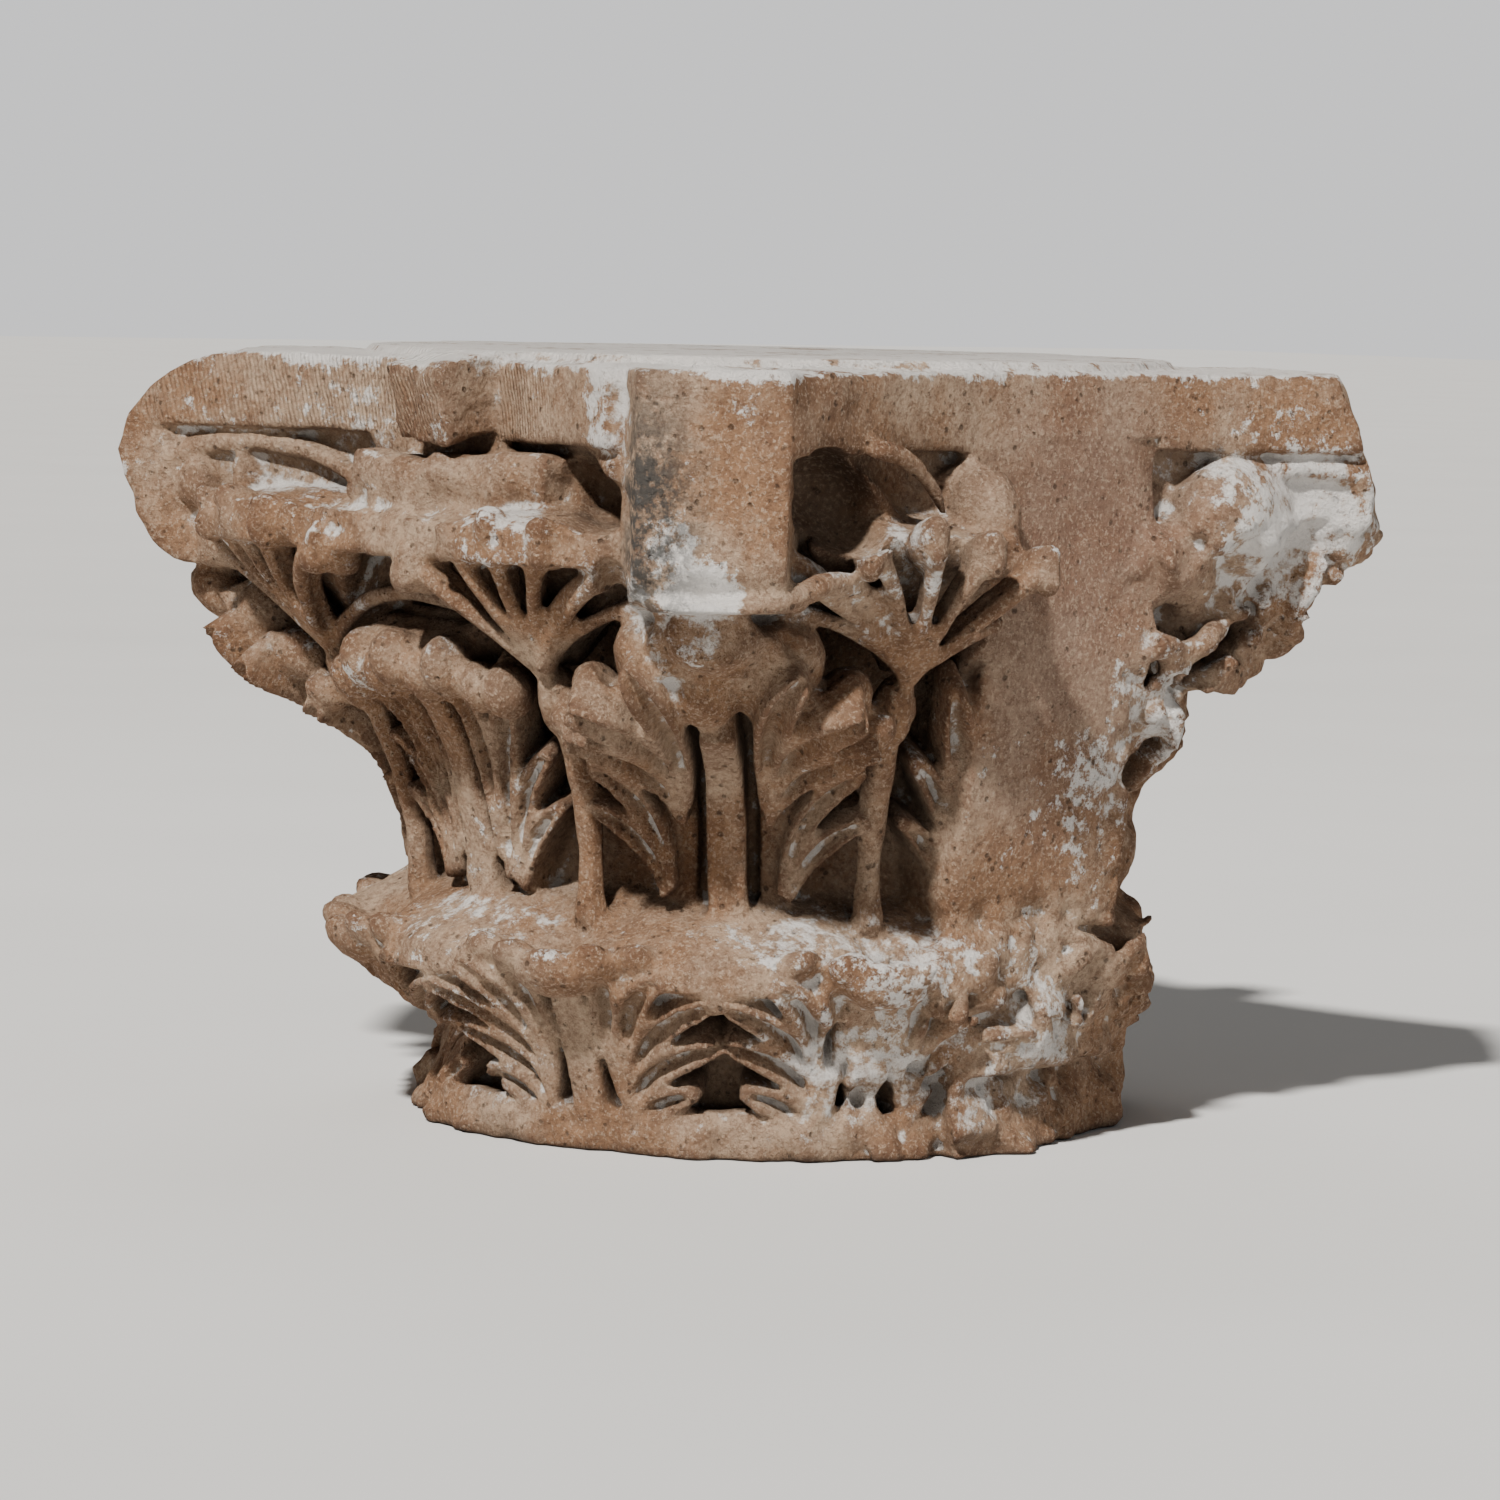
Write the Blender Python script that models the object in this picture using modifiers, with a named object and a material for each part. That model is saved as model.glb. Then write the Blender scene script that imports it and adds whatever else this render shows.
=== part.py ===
"""A late antique Corinthian capital, carved from one marble block, broken and worn.

Metres, +Z up, origin at the centre of the lower bed. An azimuth is counted in degrees from the near
corner of the abacus, which lies between +X and -Y: the boss face is at -45 and the sheared face at +45.
Heights are above the lower bed, and a point of the carving is given by its azimuth, height and radius.
"""

import math
from collections import namedtuple

import bmesh
import bpy
import numpy as np
from mathutils import Matrix, Vector

# Sizes of the block
HEIGHT = 0.530
BED_RISE = 0.006
BED_RADIUS = 0.278
ABACUS_THICKNESS = 0.052
ABACUS_REACH = 0.447
ABACUS_CORNER_WIDTH = 0.086
ABACUS_HOLLOW = 0.060
SCROLL_BAND_HEIGHT = 0.046
SCROLL_BAND_INSET = 0.005
SCROLL_BAND_RADIUS = 0.007
SCROLL_SHARES = (0.0, 0.10, 0.22, 0.42)
SCROLL_LEVELS = (-0.018, -0.004, -0.002, -0.030)
BASE_RADIUS = 0.240
BELL_RADIUS = 0.212
BELL_LIP_RADIUS = 0.285

# Sizes of the carving
NECK_HEIGHT = 0.168
LOWER_LEAF_REACH = 0.303
LOWER_GAP_REACH = 0.268
LOWER_LIP_HEIGHT = 0.134
LOWER_LIP_THICKNESS = 0.014
FACE_LEAF_REACH = 0.330
FACE_LEAF_HEIGHT = 0.330
CORNER_LEAF_REACH = 0.402
CORNER_LEAF_HEIGHT = 0.350
LEAF_THICKNESS = 0.020
LEAF_RELIEF = 0.014
RIB_WIDTH = 0.024
CHANNEL_WIDTH = 0.011
CHANNEL_DEPTH = 0.030
RIB_DEPTH = CHANNEL_DEPTH + 0.7 * LEAF_THICKNESS
HALF_DEPTH = CHANNEL_DEPTH + 0.1 * LEAF_THICKNESS
STEM_RADIUS = 0.009
STEM_COLLAR_RADIUS = 0.015
CALYX_FOOT_HEIGHT = 0.316
CALYX_TIP_HEIGHT = 0.412
CALYX_REACH = 0.345
CALYX_CORNER_SWELL = 0.066
CALYX_RIB_RADIUS = 0.0075
ARCH_RADIUS = 0.0065
VOLUTE_WIDTH = 0.100
VOLUTE_DROP = 0.100
HOLLOW_PLACE = 0.080
HOLLOW_HEIGHT = 0.442
HOLLOW_REACH = 0.380
BOSS_WIDTH = 0.062
BOSS_HEIGHT = 0.056
BOSS_REACH = 0.320
BOSS_ROUNDING = 0.006
STUMP_REACH = 0.318
STUMP_WIDTH = 0.150
STUMP_LOW = 0.396
STUMP_HIGH = 0.456
STUMP_LEAN = -9.0
TIP_BLOCK_REACH = 0.384
TIP_BLOCK_WIDTH = 0.060
TIP_BLOCK_LOW = 0.296
TIP_BLOCK_HIGH = 0.371
TIP_BLOCK_LEAN = 16.0
CORNER_LIP_RADIUS = 0.009
SHEAR_REACH = 0.288
SHEAR_WIDTH = 0.145
SHEAR_OFFSET = 0.020
SHEAR_KNEE = 0.330
SHEAR_LEAN = 9.0

# How finely the block is cut
VOXEL = 0.0045
SMOOTHING = 0.5
TRIANGLES = 9500

FACES = 4
LEAVES = 8
CORNER_AZIMUTHS = (0, 90, 180, -90)
FACE_AZIMUTHS = (-45, 45, 135, -135)
LEAF_STEP = 360 / LEAVES
ZERO_AZIMUTH = -45
NEAR_CORNER = 0
WORN_CORNER = -90
NEAR_SIDE = -74
NEAR_SIDE_OFFSET = 0.40
BOSS_CHIP_OFFSET = 0.022
BOSS_FACE = -45
SHEARED_FACE = 45
BROKEN_CORNER = 90
MARBLE_COLOUR = (0.58, 0.42, 0.29, 1.0)
MARBLE_ROUGHNESS = 0.85

# A carved blade on a leaf: where its line starts and ends, across the leaf and in height, and its half width
Leaflet = namedtuple("Leaflet", "root_across root_height tip_across tip_height half_width")

LOWER_LEAFLETS = (
    Leaflet(0.024, 0.045, 0.034, 0.136, 0.014),
    Leaflet(0.024, 0.036, 0.070, 0.128, 0.015),
    Leaflet(0.026, 0.030, 0.104, 0.108, 0.013),
    Leaflet(0.028, 0.022, 0.098, 0.080, 0.013),
    Leaflet(0.030, 0.008, 0.080, 0.046, 0.012),
)
FACE_LEAFLETS = (
    Leaflet(0.023, 0.190, 0.044, 0.330, 0.014),
    Leaflet(0.028, 0.176, 0.086, 0.312, 0.014),
    Leaflet(0.036, 0.174, 0.092, 0.268, 0.011),
    Leaflet(0.042, 0.170, 0.088, 0.230, 0.011),
)
CORNER_LEAFLETS = (
    Leaflet(0.026, 0.235, 0.060, 0.328, 0.016),
    Leaflet(0.027, 0.232, 0.098, 0.302, 0.015),
    Leaflet(0.028, 0.222, 0.108, 0.278, 0.011),
    Leaflet(0.036, 0.176, 0.092, 0.262, 0.011),
    Leaflet(0.042, 0.170, 0.094, 0.231, 0.011),
)

# Rounded tips that turn over along a lip: place across the leaf, height, radius, and half sizes
Lobe = namedtuple("Lobe", "across height radius half_width half_depth half_height")

LOWER_LOBES = (
    Lobe(0.000, 0.124, 0.305, 0.036, 0.030, 0.017),
    Lobe(0.058, 0.132, 0.288, 0.024, 0.024, 0.014),
    Lobe(0.096, 0.116, 0.278, 0.016, 0.020, 0.012),
)
FACE_LOBES = (
    Lobe(0.000, 0.328, 0.330, 0.022, 0.030, 0.016),
    Lobe(0.045, 0.327, 0.325, 0.021, 0.030, 0.016),
    Lobe(0.086, 0.312, 0.312, 0.018, 0.024, 0.014),
)
CORNER_LOBES = (
    Lobe(0.000, 0.352, 0.388, 0.036, 0.036, 0.022),
    Lobe(0.054, 0.342, 0.356, 0.022, 0.034, 0.018),
    Lobe(0.088, 0.320, 0.332, 0.020, 0.028, 0.015),
    Lobe(0.106, 0.296, 0.318, 0.016, 0.022, 0.012),
)
# A fan's ribs: where each ends, across the fan and in height, and the half width of its head
CALYX_RIBS = (
    (-0.094, 0.392, 0.017),
    (-0.066, 0.414, 0.014),
    (-0.042, 0.422, 0.012),
    (-0.016, 0.420, 0.012),
    (0.010, 0.417, 0.012),
    (0.036, 0.421, 0.013),
    (0.064, 0.416, 0.014),
    (0.094, 0.394, 0.018),
)
# The lip under the near corner, from its middle out to the foot of an arch: azimuth, radius and height
CORNER_LIP = (
    (0.0, 0.424, 0.377),
    (3.0, 0.424, 0.377),
    (6.2, 0.418, 0.380),
    (10.0, 0.388, 0.386),
    (13.5, 0.366, 0.382),
    (16.8, 0.346, 0.370),
    (19.6, 0.330, 0.350),
    (21.4, 0.318, 0.326),
)


def smooth_line(points, steps=8):
    """A Catmull-Rom curve through the points, as an array."""
    points = np.asarray(points, float)
    ends = np.vstack([2 * points[0] - points[1], points, 2 * points[-1] - points[-2]])
    line = []
    for before, start, end, after in zip(ends, ends[1:], ends[2:], ends[3:]):
        for share in np.arange(steps) / steps:
            line.append(
                0.5
                * (
                    2 * start
                    + (end - before) * share
                    + (2 * before - 5 * start + 4 * end - after) * share**2
                    + (3 * start - before - 3 * end + after) * share**3
                )
            )
    return np.array([*line, points[-1]])


def polar(azimuth, radius, height):
    """The point at that azimuth from the near corner."""
    turn = np.radians(np.asarray(azimuth) + ZERO_AZIMUTH)
    return np.stack(np.broadcast_arrays(radius * np.cos(turn), radius * np.sin(turn), height), -1)


def from_face_centre(azimuth):
    """Degrees from the middle of the nearest face, 0 there and 45 at a corner."""
    return 45 - np.abs((np.asarray(azimuth) + 45) % 90 - 45)


def from_lower_leaf(azimuth):
    """Degrees from the middle of the nearest lower leaf, 0 there and 22.5 between two leaves."""
    half = LEAF_STEP / 2
    return half - np.abs(np.asarray(azimuth) % LEAF_STEP - half)


class Rise:
    """A carved surface that climbs the bell: its radius at each height, and how far it leans out."""

    def __init__(self, points, lean=None):
        line = smooth_line(points)
        self.radii, self.heights = line[:, 0], np.maximum.accumulate(line[:, 1])
        self.lean = lean

    def radius(self, azimuth, height):
        found = np.interp(height, self.heights, self.radii)
        return found if self.lean is None else found + self.lean(azimuth, height)

    def point(self, azimuth, height, proud):
        """The point that far proud of the surface, square to it in the upright plane."""
        step = 0.002
        low, high = self.radius(azimuth, height - step), self.radius(azimuth, height + step)
        slope = (high - low) / (2 * step)
        size = np.sqrt(1 + slope**2)
        radius = self.radius(azimuth, height) + proud / size
        return polar(azimuth, radius, height - proud * slope / size)


def lower_lean(azimuth, height):
    """The lower leaves' lip draws back between two leaves."""
    share = np.clip(np.asarray(height) / LOWER_LIP_HEIGHT, 0, 1) ** 3
    gap = from_lower_leaf(azimuth) / (LEAF_STEP / 2)
    return -(LOWER_LEAF_REACH - LOWER_GAP_REACH) * share * gap**2


def calyx_lean(azimuth, height):
    """The calyx leaves lean out towards the corners, under the volutes."""
    rise = np.clip((np.asarray(height) - CALYX_FOOT_HEIGHT) / (CALYX_TIP_HEIGHT - CALYX_FOOT_HEIGHT), 0, 1)
    return CALYX_CORNER_SWELL * rise * from_face_centre(azimuth) / 45


LOWER_RISE = Rise(
    [
        (BASE_RADIUS, -0.02),
        (BASE_RADIUS + 0.002, 0.030),
        (BASE_RADIUS + 0.010, 0.055),
        (BASE_RADIUS + 0.024, 0.078),
        (BASE_RADIUS + 0.044, 0.100),
        (LOWER_LEAF_REACH - 0.004, 0.120),
        (LOWER_LEAF_REACH, LOWER_LIP_HEIGHT + 0.006),
    ],
    lower_lean,
)
NECK_RADIUS = 0.243
FACE_RISE = Rise(
    [
        (NECK_RADIUS, NECK_HEIGHT - 0.03),
        (NECK_RADIUS + 0.004, 0.190),
        (NECK_RADIUS + 0.016, 0.235),
        (NECK_RADIUS + 0.040, 0.285),
        (FACE_LEAF_REACH, FACE_LEAF_HEIGHT),
    ]
)
CORNER_RISE = Rise(
    [
        (NECK_RADIUS, NECK_HEIGHT - 0.03),
        (NECK_RADIUS + 0.008, 0.190),
        (NECK_RADIUS + 0.020, 0.225),
        (NECK_RADIUS + 0.042, 0.256),
        (NECK_RADIUS + 0.092, 0.283),
        (NECK_RADIUS + 0.128, 0.305),
        (CORNER_LEAF_REACH, CORNER_LEAF_HEIGHT),
    ]
)
CALYX_RISE = Rise(
    [
        (CALYX_REACH - 0.040, CALYX_FOOT_HEIGHT),
        (CALYX_REACH - 0.024, 0.345),
        (CALYX_REACH - 0.008, 0.380),
        (CALYX_REACH, CALYX_TIP_HEIGHT),
    ],
    calyx_lean,
)


def linked(name, mesh, collection):
    """A new object with that mesh, in that collection."""
    made = bpy.data.objects.new(name, mesh)
    collection.objects.link(made)
    return made


def closed_between(shape, front, back):
    """Adds the closed body between two grids of points that have the same rows and columns."""
    rows, columns = front.shape[:2]
    outer = [[shape.verts.new(point) for point in row] for row in front]
    inner = [[shape.verts.new(point) for point in row] for row in back]
    for i in range(rows - 1):
        for j in range(columns - 1):
            shape.faces.new((outer[i][j], outer[i][j + 1], outer[i + 1][j + 1], outer[i + 1][j]))
            shape.faces.new((inner[i][j], inner[i + 1][j], inner[i + 1][j + 1], inner[i][j + 1]))
    border = [(0, j) for j in range(columns - 1)] + [(i, columns - 1) for i in range(rows - 1)]
    border += [(rows - 1, j) for j in range(columns - 1, 0, -1)] + [(i, 0) for i in range(rows - 1, 0, -1)]
    for (i, j), (k, m) in zip(border, border[1:] + border[:1]):
        shape.faces.new((outer[k][m], outer[i][j], inner[i][j], inner[k][m]))


def add_strip(shape, azimuth, rise, heights, inner, outer, proud, depth):
    """A strip of a leaf between two lines across it, given at those heights. It follows the rise."""
    rows = np.linspace(heights[0], heights[-1], 14)[:, None]
    share = np.linspace(0, 1, 6)[None, :]
    low = np.interp(rows, heights, inner)
    high = np.interp(rows, heights, outer)
    turn = azimuth + np.degrees((low + (high - low) * share) / rise.radius(azimuth, rows))
    level = rows + 0 * share
    closed_between(shape, rise.point(turn, level, proud), rise.point(turn, level, proud - depth))


def add_leaflet(shape, azimuth, rise, leaflet, side, relief=LEAF_RELIEF, depth=0.030):
    """One blade of a leaf: it climbs beside the rib, bows outwards and ends in a point."""
    share = np.linspace(0, 1, 10)[:, None]
    run = leaflet.tip_across - leaflet.root_across
    climb = leaflet.tip_height - leaflet.root_height
    root = np.array([leaflet.root_across, leaflet.root_height])
    bend = root + np.array([0.15 * run, 0.62 * climb])
    tip = np.array([leaflet.tip_across, leaflet.tip_height])
    line = (1 - share) ** 2 * root + 2 * share * (1 - share) * bend + share**2 * tip
    along = np.gradient(line, axis=0)
    along /= np.linalg.norm(along, axis=1)[:, None]
    sideways = np.stack([along[:, 1], -along[:, 0]], 1)
    width = leaflet.half_width * np.clip(1.7 * (share + 0.15) * (1.06 - share) ** 0.6, 0, 1)
    across = np.array([-1, -0.62, 0, 0.62, 1])[None, :]
    place = line[:, None, :] + sideways[:, None, :] * (across * width)[:, :, None]
    rim = np.array([-0.8, 0.0, -0.5, 0.0, -0.8])[None, :] * relief + 0 * share
    radius = rise.radius(azimuth, place[:, :, 1])
    turn = azimuth + side * np.degrees(place[:, :, 0] / radius)
    front = rise.point(turn, place[:, :, 1], rim)
    closed_between(shape, front, rise.point(turn, place[:, :, 1], rim - depth))


def add_lobe(shape, azimuth, lobe):
    """A rounded tip, as an ellipsoid square to its radius."""
    turn = azimuth + math.degrees(lobe.across / lobe.radius)
    size = Matrix.Diagonal((lobe.half_width, lobe.half_depth, lobe.half_height, 1))
    place = Matrix.Translation((0, -lobe.radius + 0.4 * lobe.half_depth, lobe.height))
    tip = Matrix.Rotation(math.radians(-20), 4, "X")
    bmesh.ops.create_icosphere(shape, subdivisions=2, radius=1, matrix=upright(turn) @ place @ tip @ size)


def add_tube(shape, points, radii):
    """A round rod along the points."""
    points = np.asarray(points, float)
    radii = np.broadcast_to(radii, len(points))
    along = np.gradient(points, axis=0)
    along /= np.linalg.norm(along, axis=1)[:, None]
    radial = points * (1, 1, 0)
    side = np.cross(along, radial)
    side /= np.linalg.norm(side, axis=1)[:, None]
    out = np.cross(side, along)
    rings = []
    for point, one, other, radius in zip(points, side, out, radii):
        ring = []
        for step in range(8):
            turn = 2 * math.pi * step / 8
            ring.append(shape.verts.new(point + radius * (math.cos(turn) * one + math.sin(turn) * other)))
        rings.append(ring)
    for low, high in zip(rings, rings[1:]):
        for step in range(8):
            following = (step + 1) % 8
            shape.faces.new((low[step], low[following], high[following], high[step]))
    shape.faces.new(rings[0][::-1])
    shape.faces.new(rings[-1])


def add_leaf(shape, azimuth, rise, heights, half_widths, leaflets, lobes, rib_top):
    """A leaf: its sunk ground, a half on each side of two drilled channels, the rib, leaflets and lip."""
    foot = (heights[0], rib_top)
    ground = 0.75 * np.asarray(half_widths)
    add_strip(shape, azimuth, rise, heights, -ground, ground, -CHANNEL_DEPTH, LEAF_THICKNESS)
    half = RIB_WIDTH / 2
    add_strip(shape, azimuth, rise, foot, (-1.1 * half, -half), (1.1 * half, half), 0.0, RIB_DEPTH)
    inner = np.where(np.asarray(heights) < rib_top, half + CHANNEL_WIDTH, 0.0)
    for side in (-1, 1):
        plate_edge = 0.72 * np.asarray(half_widths)
        add_strip(shape, azimuth, rise, heights, side * inner, side * plate_edge, -LEAF_RELIEF, HALF_DEPTH)
        for leaflet in leaflets:
            add_leaflet(shape, azimuth, rise, leaflet, side)
        for lobe in lobes:
            if lobe.across or side == 1:
                add_lobe(shape, azimuth, lobe._replace(across=side * lobe.across))


def add_lower_leaf(shape, azimuth):
    """A leaf of the lower row. Its lip turns out, and its upper side slopes back to the neck."""
    heights = (-0.01, 0.05, 0.09, 0.098, LOWER_LIP_HEIGHT)
    widths = (0.056, 0.075, 0.095, 0.096, 0.100)
    add_leaf(shape, azimuth, LOWER_RISE, heights, widths, LOWER_LEAFLETS, LOWER_LOBES, 0.112)


def add_lower_shelf(shape):
    """The upper side of the lower row, from its lip back to the neck, all the way round."""
    steps = 96
    turn = np.linspace(0, 360, steps + 1)[:, None]
    lip = LOWER_RISE.radius(turn, LOWER_LIP_HEIGHT)
    inner = NECK_RADIUS - 0.030
    share = np.array([0.0, 0.35, 0.7, 1.0])[None, :]
    radius = lip + (inner - lip) * share
    slope = LOWER_LIP_HEIGHT + (NECK_HEIGHT + 0.006 - LOWER_LIP_HEIGHT) * share**0.8
    top = polar(turn, radius, slope + 0 * turn)
    under = polar(turn, radius, slope + 0 * turn - LOWER_LIP_THICKNESS * (1 + 3 * share))
    closed_between(shape, top, under)


def add_upper_leaf(shape, azimuth):
    """A leaf of the upper row: longer under a corner, shorter at the middle of a face."""
    if azimuth in CORNER_AZIMUTHS:
        heights = (NECK_HEIGHT - 0.02, 0.210, 0.270, 0.278, 0.310, CORNER_LEAF_HEIGHT)
        widths = (0.060, 0.064, 0.088, 0.092, 0.104, 0.062)
        add_leaf(shape, azimuth, CORNER_RISE, heights, widths, CORNER_LEAFLETS, CORNER_LOBES, 0.282)
    else:
        heights = (NECK_HEIGHT - 0.02, 0.210, 0.250, 0.290, 0.305, FACE_LEAF_HEIGHT)
        widths = (0.060, 0.062, 0.070, 0.086, 0.092, 0.078)
        add_leaf(shape, azimuth, FACE_RISE, heights, widths, FACE_LEAFLETS, FACE_LOBES, 0.300)


def add_calyx(shape, azimuth):
    """The fan of leaves that springs from a stem and carries the volutes."""
    heights = (CALYX_FOOT_HEIGHT, 0.335, 0.352, 0.370, 0.395, CALYX_TIP_HEIGHT)
    edge = np.array((0.010, 0.022, 0.046, 0.080, 0.092, 0.070))
    add_strip(shape, azimuth, CALYX_RISE, heights, -edge, edge, -0.014, 0.075)
    share = np.linspace(0, 1, 7)
    for end, top, half_width in CALYX_RIBS:
        across = end * share**1.2
        height = CALYX_FOOT_HEIGHT + 0.004 + (top - CALYX_FOOT_HEIGHT - 0.004) * share
        turn = azimuth + np.degrees(across / CALYX_REACH)
        line = CALYX_RISE.point(turn, height, -0.4 * CALYX_RIB_RADIUS)
        add_tube(shape, line, CALYX_RIB_RADIUS * (0.75 + 0.55 * share))
        reach = float(CALYX_RISE.radius(turn[-1], top)) + 0.004
        add_lobe(shape, azimuth, Lobe(end * reach / CALYX_REACH, top - 0.002, reach, half_width, 0.024, 0.012))


def add_arch(shape, azimuth):
    """The thin rim between two fans, over the tip of an upper leaf."""
    corner = azimuth in CORNER_AZIMUTHS
    rise = 0.052 if corner else 0.042
    reach = 0.052 if corner else -0.004
    share = np.linspace(-1, 1, 17)
    turn = azimuth + share * LEAF_STEP / 2
    height = CALYX_FOOT_HEIGHT + 0.010 + rise * (1 - np.abs(share) ** 2.2)
    radius = 0.308 + reach * (1 - share**2)
    add_tube(shape, polar(turn, radius, height), ARCH_RADIUS)
    wall = np.array([0.0, 0.030, 0.075, 0.115])[None, :]
    back = np.array([0.010, 0.012, 0.014, 0.006])[None, :]
    front = polar(turn[:, None], radius[:, None] - back, height[:, None] + wall)
    rear = polar(turn[:, None], radius[:, None] - back - 0.040, height[:, None] + wall)
    closed_between(shape, front, rear)


def add_stem(shape, azimuth):
    """A stem between two upper leaves, as a tapered rod that swells to a collar under its fan."""
    heights = np.array([NECK_HEIGHT - 0.015, 0.20, 0.24, 0.275, 0.288, 0.304, 0.320])
    collar = STEM_COLLAR_RADIUS / STEM_RADIUS
    girths = (1.0, 0.85, 0.95, 1.2, 0.9 * collar, collar, 1.1)
    spread = np.array([0.010, 0.014, 0.020, 0.026, 0.024, 0.018, 0.008])
    radius = FACE_RISE.radius(azimuth, heights) - 0.010 + 0.4 * spread
    add_tube(shape, polar(azimuth, radius, heights), STEM_RADIUS * np.array(girths))
    for side in (-1, 1):
        add_lobe(shape, azimuth, Lobe(side * 0.026, 0.182, 0.246, 0.017, 0.014, 0.024))


def abacus_outline(reach, corner_width, hollow):
    """The plan of the abacus: four hollow sides between four cut corners."""
    outline = []
    for corner, following in zip((0, 90, 180, 270), (90, 180, 270, 360)):
        start = polar(corner, reach, 0.0)[:2] + 0.5 * corner_width * polar(corner + 90, 1.0, 0.0)[:2]
        end = polar(following, reach, 0.0)[:2] - 0.5 * corner_width * polar(following + 90, 1.0, 0.0)[:2]
        inward = -polar(corner + 45, 1.0, 0.0)[:2]
        for share in np.linspace(0, 1, 15):
            sag = hollow * 4 * share * (1 - share)
            outline.append(start * (1 - share) + end * share + inward * sag)
    return outline


def plate(name, outline, low, high, collection):
    """A flat outline with thickness, from one height to another."""
    curve = bpy.data.curves.new(name, "CURVE")
    curve.dimensions = "2D"
    curve.fill_mode = "BOTH"
    curve.extrude = (high - low) / 2
    spline = curve.splines.new("POLY")
    spline.points.add(len(outline) - 1)
    for knot, point in zip(spline.points, outline):
        knot.co = (point[0], point[1], 0, 1)
    spline.use_cyclic_u = True
    made = linked(name, curve, collection)
    made.location.z = (low + high) / 2
    return made


def bell(collection):
    """The turned core behind the leaves."""
    top = HEIGHT - BED_RISE - ABACUS_THICKNESS
    profile = [
        (BELL_LIP_RADIUS, top + 0.010),
        (BELL_LIP_RADIUS - 0.030, 0.400),
        (BELL_RADIUS + 0.024, 0.340),
        (BELL_RADIUS + 0.006, 0.280),
        (BELL_RADIUS, 0.200),
        (BELL_RADIUS, -0.010),
    ]
    mesh = bpy.data.meshes.new("bell")
    shape = bmesh.new()
    ring = [shape.verts.new((0, 0, top + 0.010))]
    ring += [shape.verts.new((radius, 0, height)) for radius, height in smooth_line(profile, 3)]
    ring.append(shape.verts.new((0, 0, -0.010)))
    for start, end in zip(ring, ring[1:]):
        shape.edges.new((start, end))
    shape.to_mesh(mesh)
    shape.free()
    made = linked("bell", mesh, collection)
    screw = made.modifiers.new("turn", "SCREW")
    screw.steps = screw.render_steps = 64
    screw.use_merge_vertices = True
    screw.merge_threshold = 0.0001
    return made


def bed(collection):
    """The raised round bed on the top, left a little high until the beds are cut."""
    shape = bmesh.new()
    bmesh.ops.create_cone(
        shape,
        cap_ends=True,
        segments=72,
        radius1=BED_RADIUS,
        radius2=BED_RADIUS,
        depth=0.034,
        matrix=Matrix.Translation((0, 0, HEIGHT - 0.013)),
    )
    mesh = bpy.data.meshes.new("bed")
    shape.to_mesh(mesh)
    shape.free()
    return linked("bed", mesh, collection)


def upright(azimuth):
    """A frame with x across the view of that azimuth, y inwards and z up."""
    return Matrix.Rotation(math.radians(azimuth + ZERO_AZIMUTH + 90), 4, "Z")


def block(name, azimuth, inner, outer, width, low, high, collection, bevel=0.0):
    """A box that stands out along an azimuth, from one radius to another."""
    shape = bmesh.new()
    size = Matrix.Diagonal((width, outer - inner, high - low, 1))
    place = Matrix.Translation((0, -(inner + outer) / 2, (low + high) / 2))
    bmesh.ops.create_cube(shape, size=1, matrix=upright(azimuth) @ place @ size)
    mesh = bpy.data.meshes.new(name)
    shape.to_mesh(mesh)
    shape.free()
    made = linked(name, mesh, collection)
    if bevel:
        edge = made.modifiers.new("round", "BEVEL")
        edge.width = bevel
        edge.segments = 3
    return made


def corner_mass(azimuth, profile, collection):
    """The body of a pair of volutes under a corner, cut from its side view."""
    curve = bpy.data.curves.new("volute_pair", "CURVE")
    curve.dimensions = "2D"
    curve.fill_mode = "BOTH"
    curve.extrude = VOLUTE_WIDTH / 2
    spline = curve.splines.new("POLY")
    outline = smooth_line(profile, 4)
    spline.points.add(len(outline) - 1)
    for knot, (radius, height) in zip(spline.points, outline):
        knot.co = (radius, height, 0, 1)
    spline.use_cyclic_u = True
    made = linked("volute_pair", curve, collection)
    made.matrix_world = upright(azimuth - 90) @ Matrix.Rotation(math.radians(90), 4, "X")
    return made


def volute_profile():
    """Side view of a whole volute: its nose under the abacus corner and its round underside."""
    top = HEIGHT - BED_RISE - ABACUS_THICKNESS
    return [
        (BELL_RADIUS, top + 0.010),
        (ABACUS_REACH - 0.010, top + 0.010),
        (ABACUS_REACH, top - 0.28 * VOLUTE_DROP),
        (ABACUS_REACH - 0.010, top - 0.60 * VOLUTE_DROP),
        (ABACUS_REACH - 0.030, top - 0.90 * VOLUTE_DROP),
        (ABACUS_REACH - 0.070, top - VOLUTE_DROP),
        (BELL_RADIUS, top - VOLUTE_DROP),
    ]


def broken_volute_profile():
    """Side view of the volute that has lost its nose, with the stump of the leaf under it."""
    top = HEIGHT - BED_RISE - ABACUS_THICKNESS
    return [
        (BELL_RADIUS, top + 0.010),
        (ABACUS_REACH - 0.032, top + 0.010),
        (ABACUS_REACH - 0.020, top - 0.35 * VOLUTE_DROP),
        (ABACUS_REACH - 0.028, top - 0.58 * VOLUTE_DROP),
        (ABACUS_REACH - 0.075, top - 1.06 * VOLUTE_DROP),
        (ABACUS_REACH - 0.135, top - 1.62 * VOLUTE_DROP),
        (BELL_RADIUS, top - 1.62 * VOLUTE_DROP),
    ]


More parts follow.
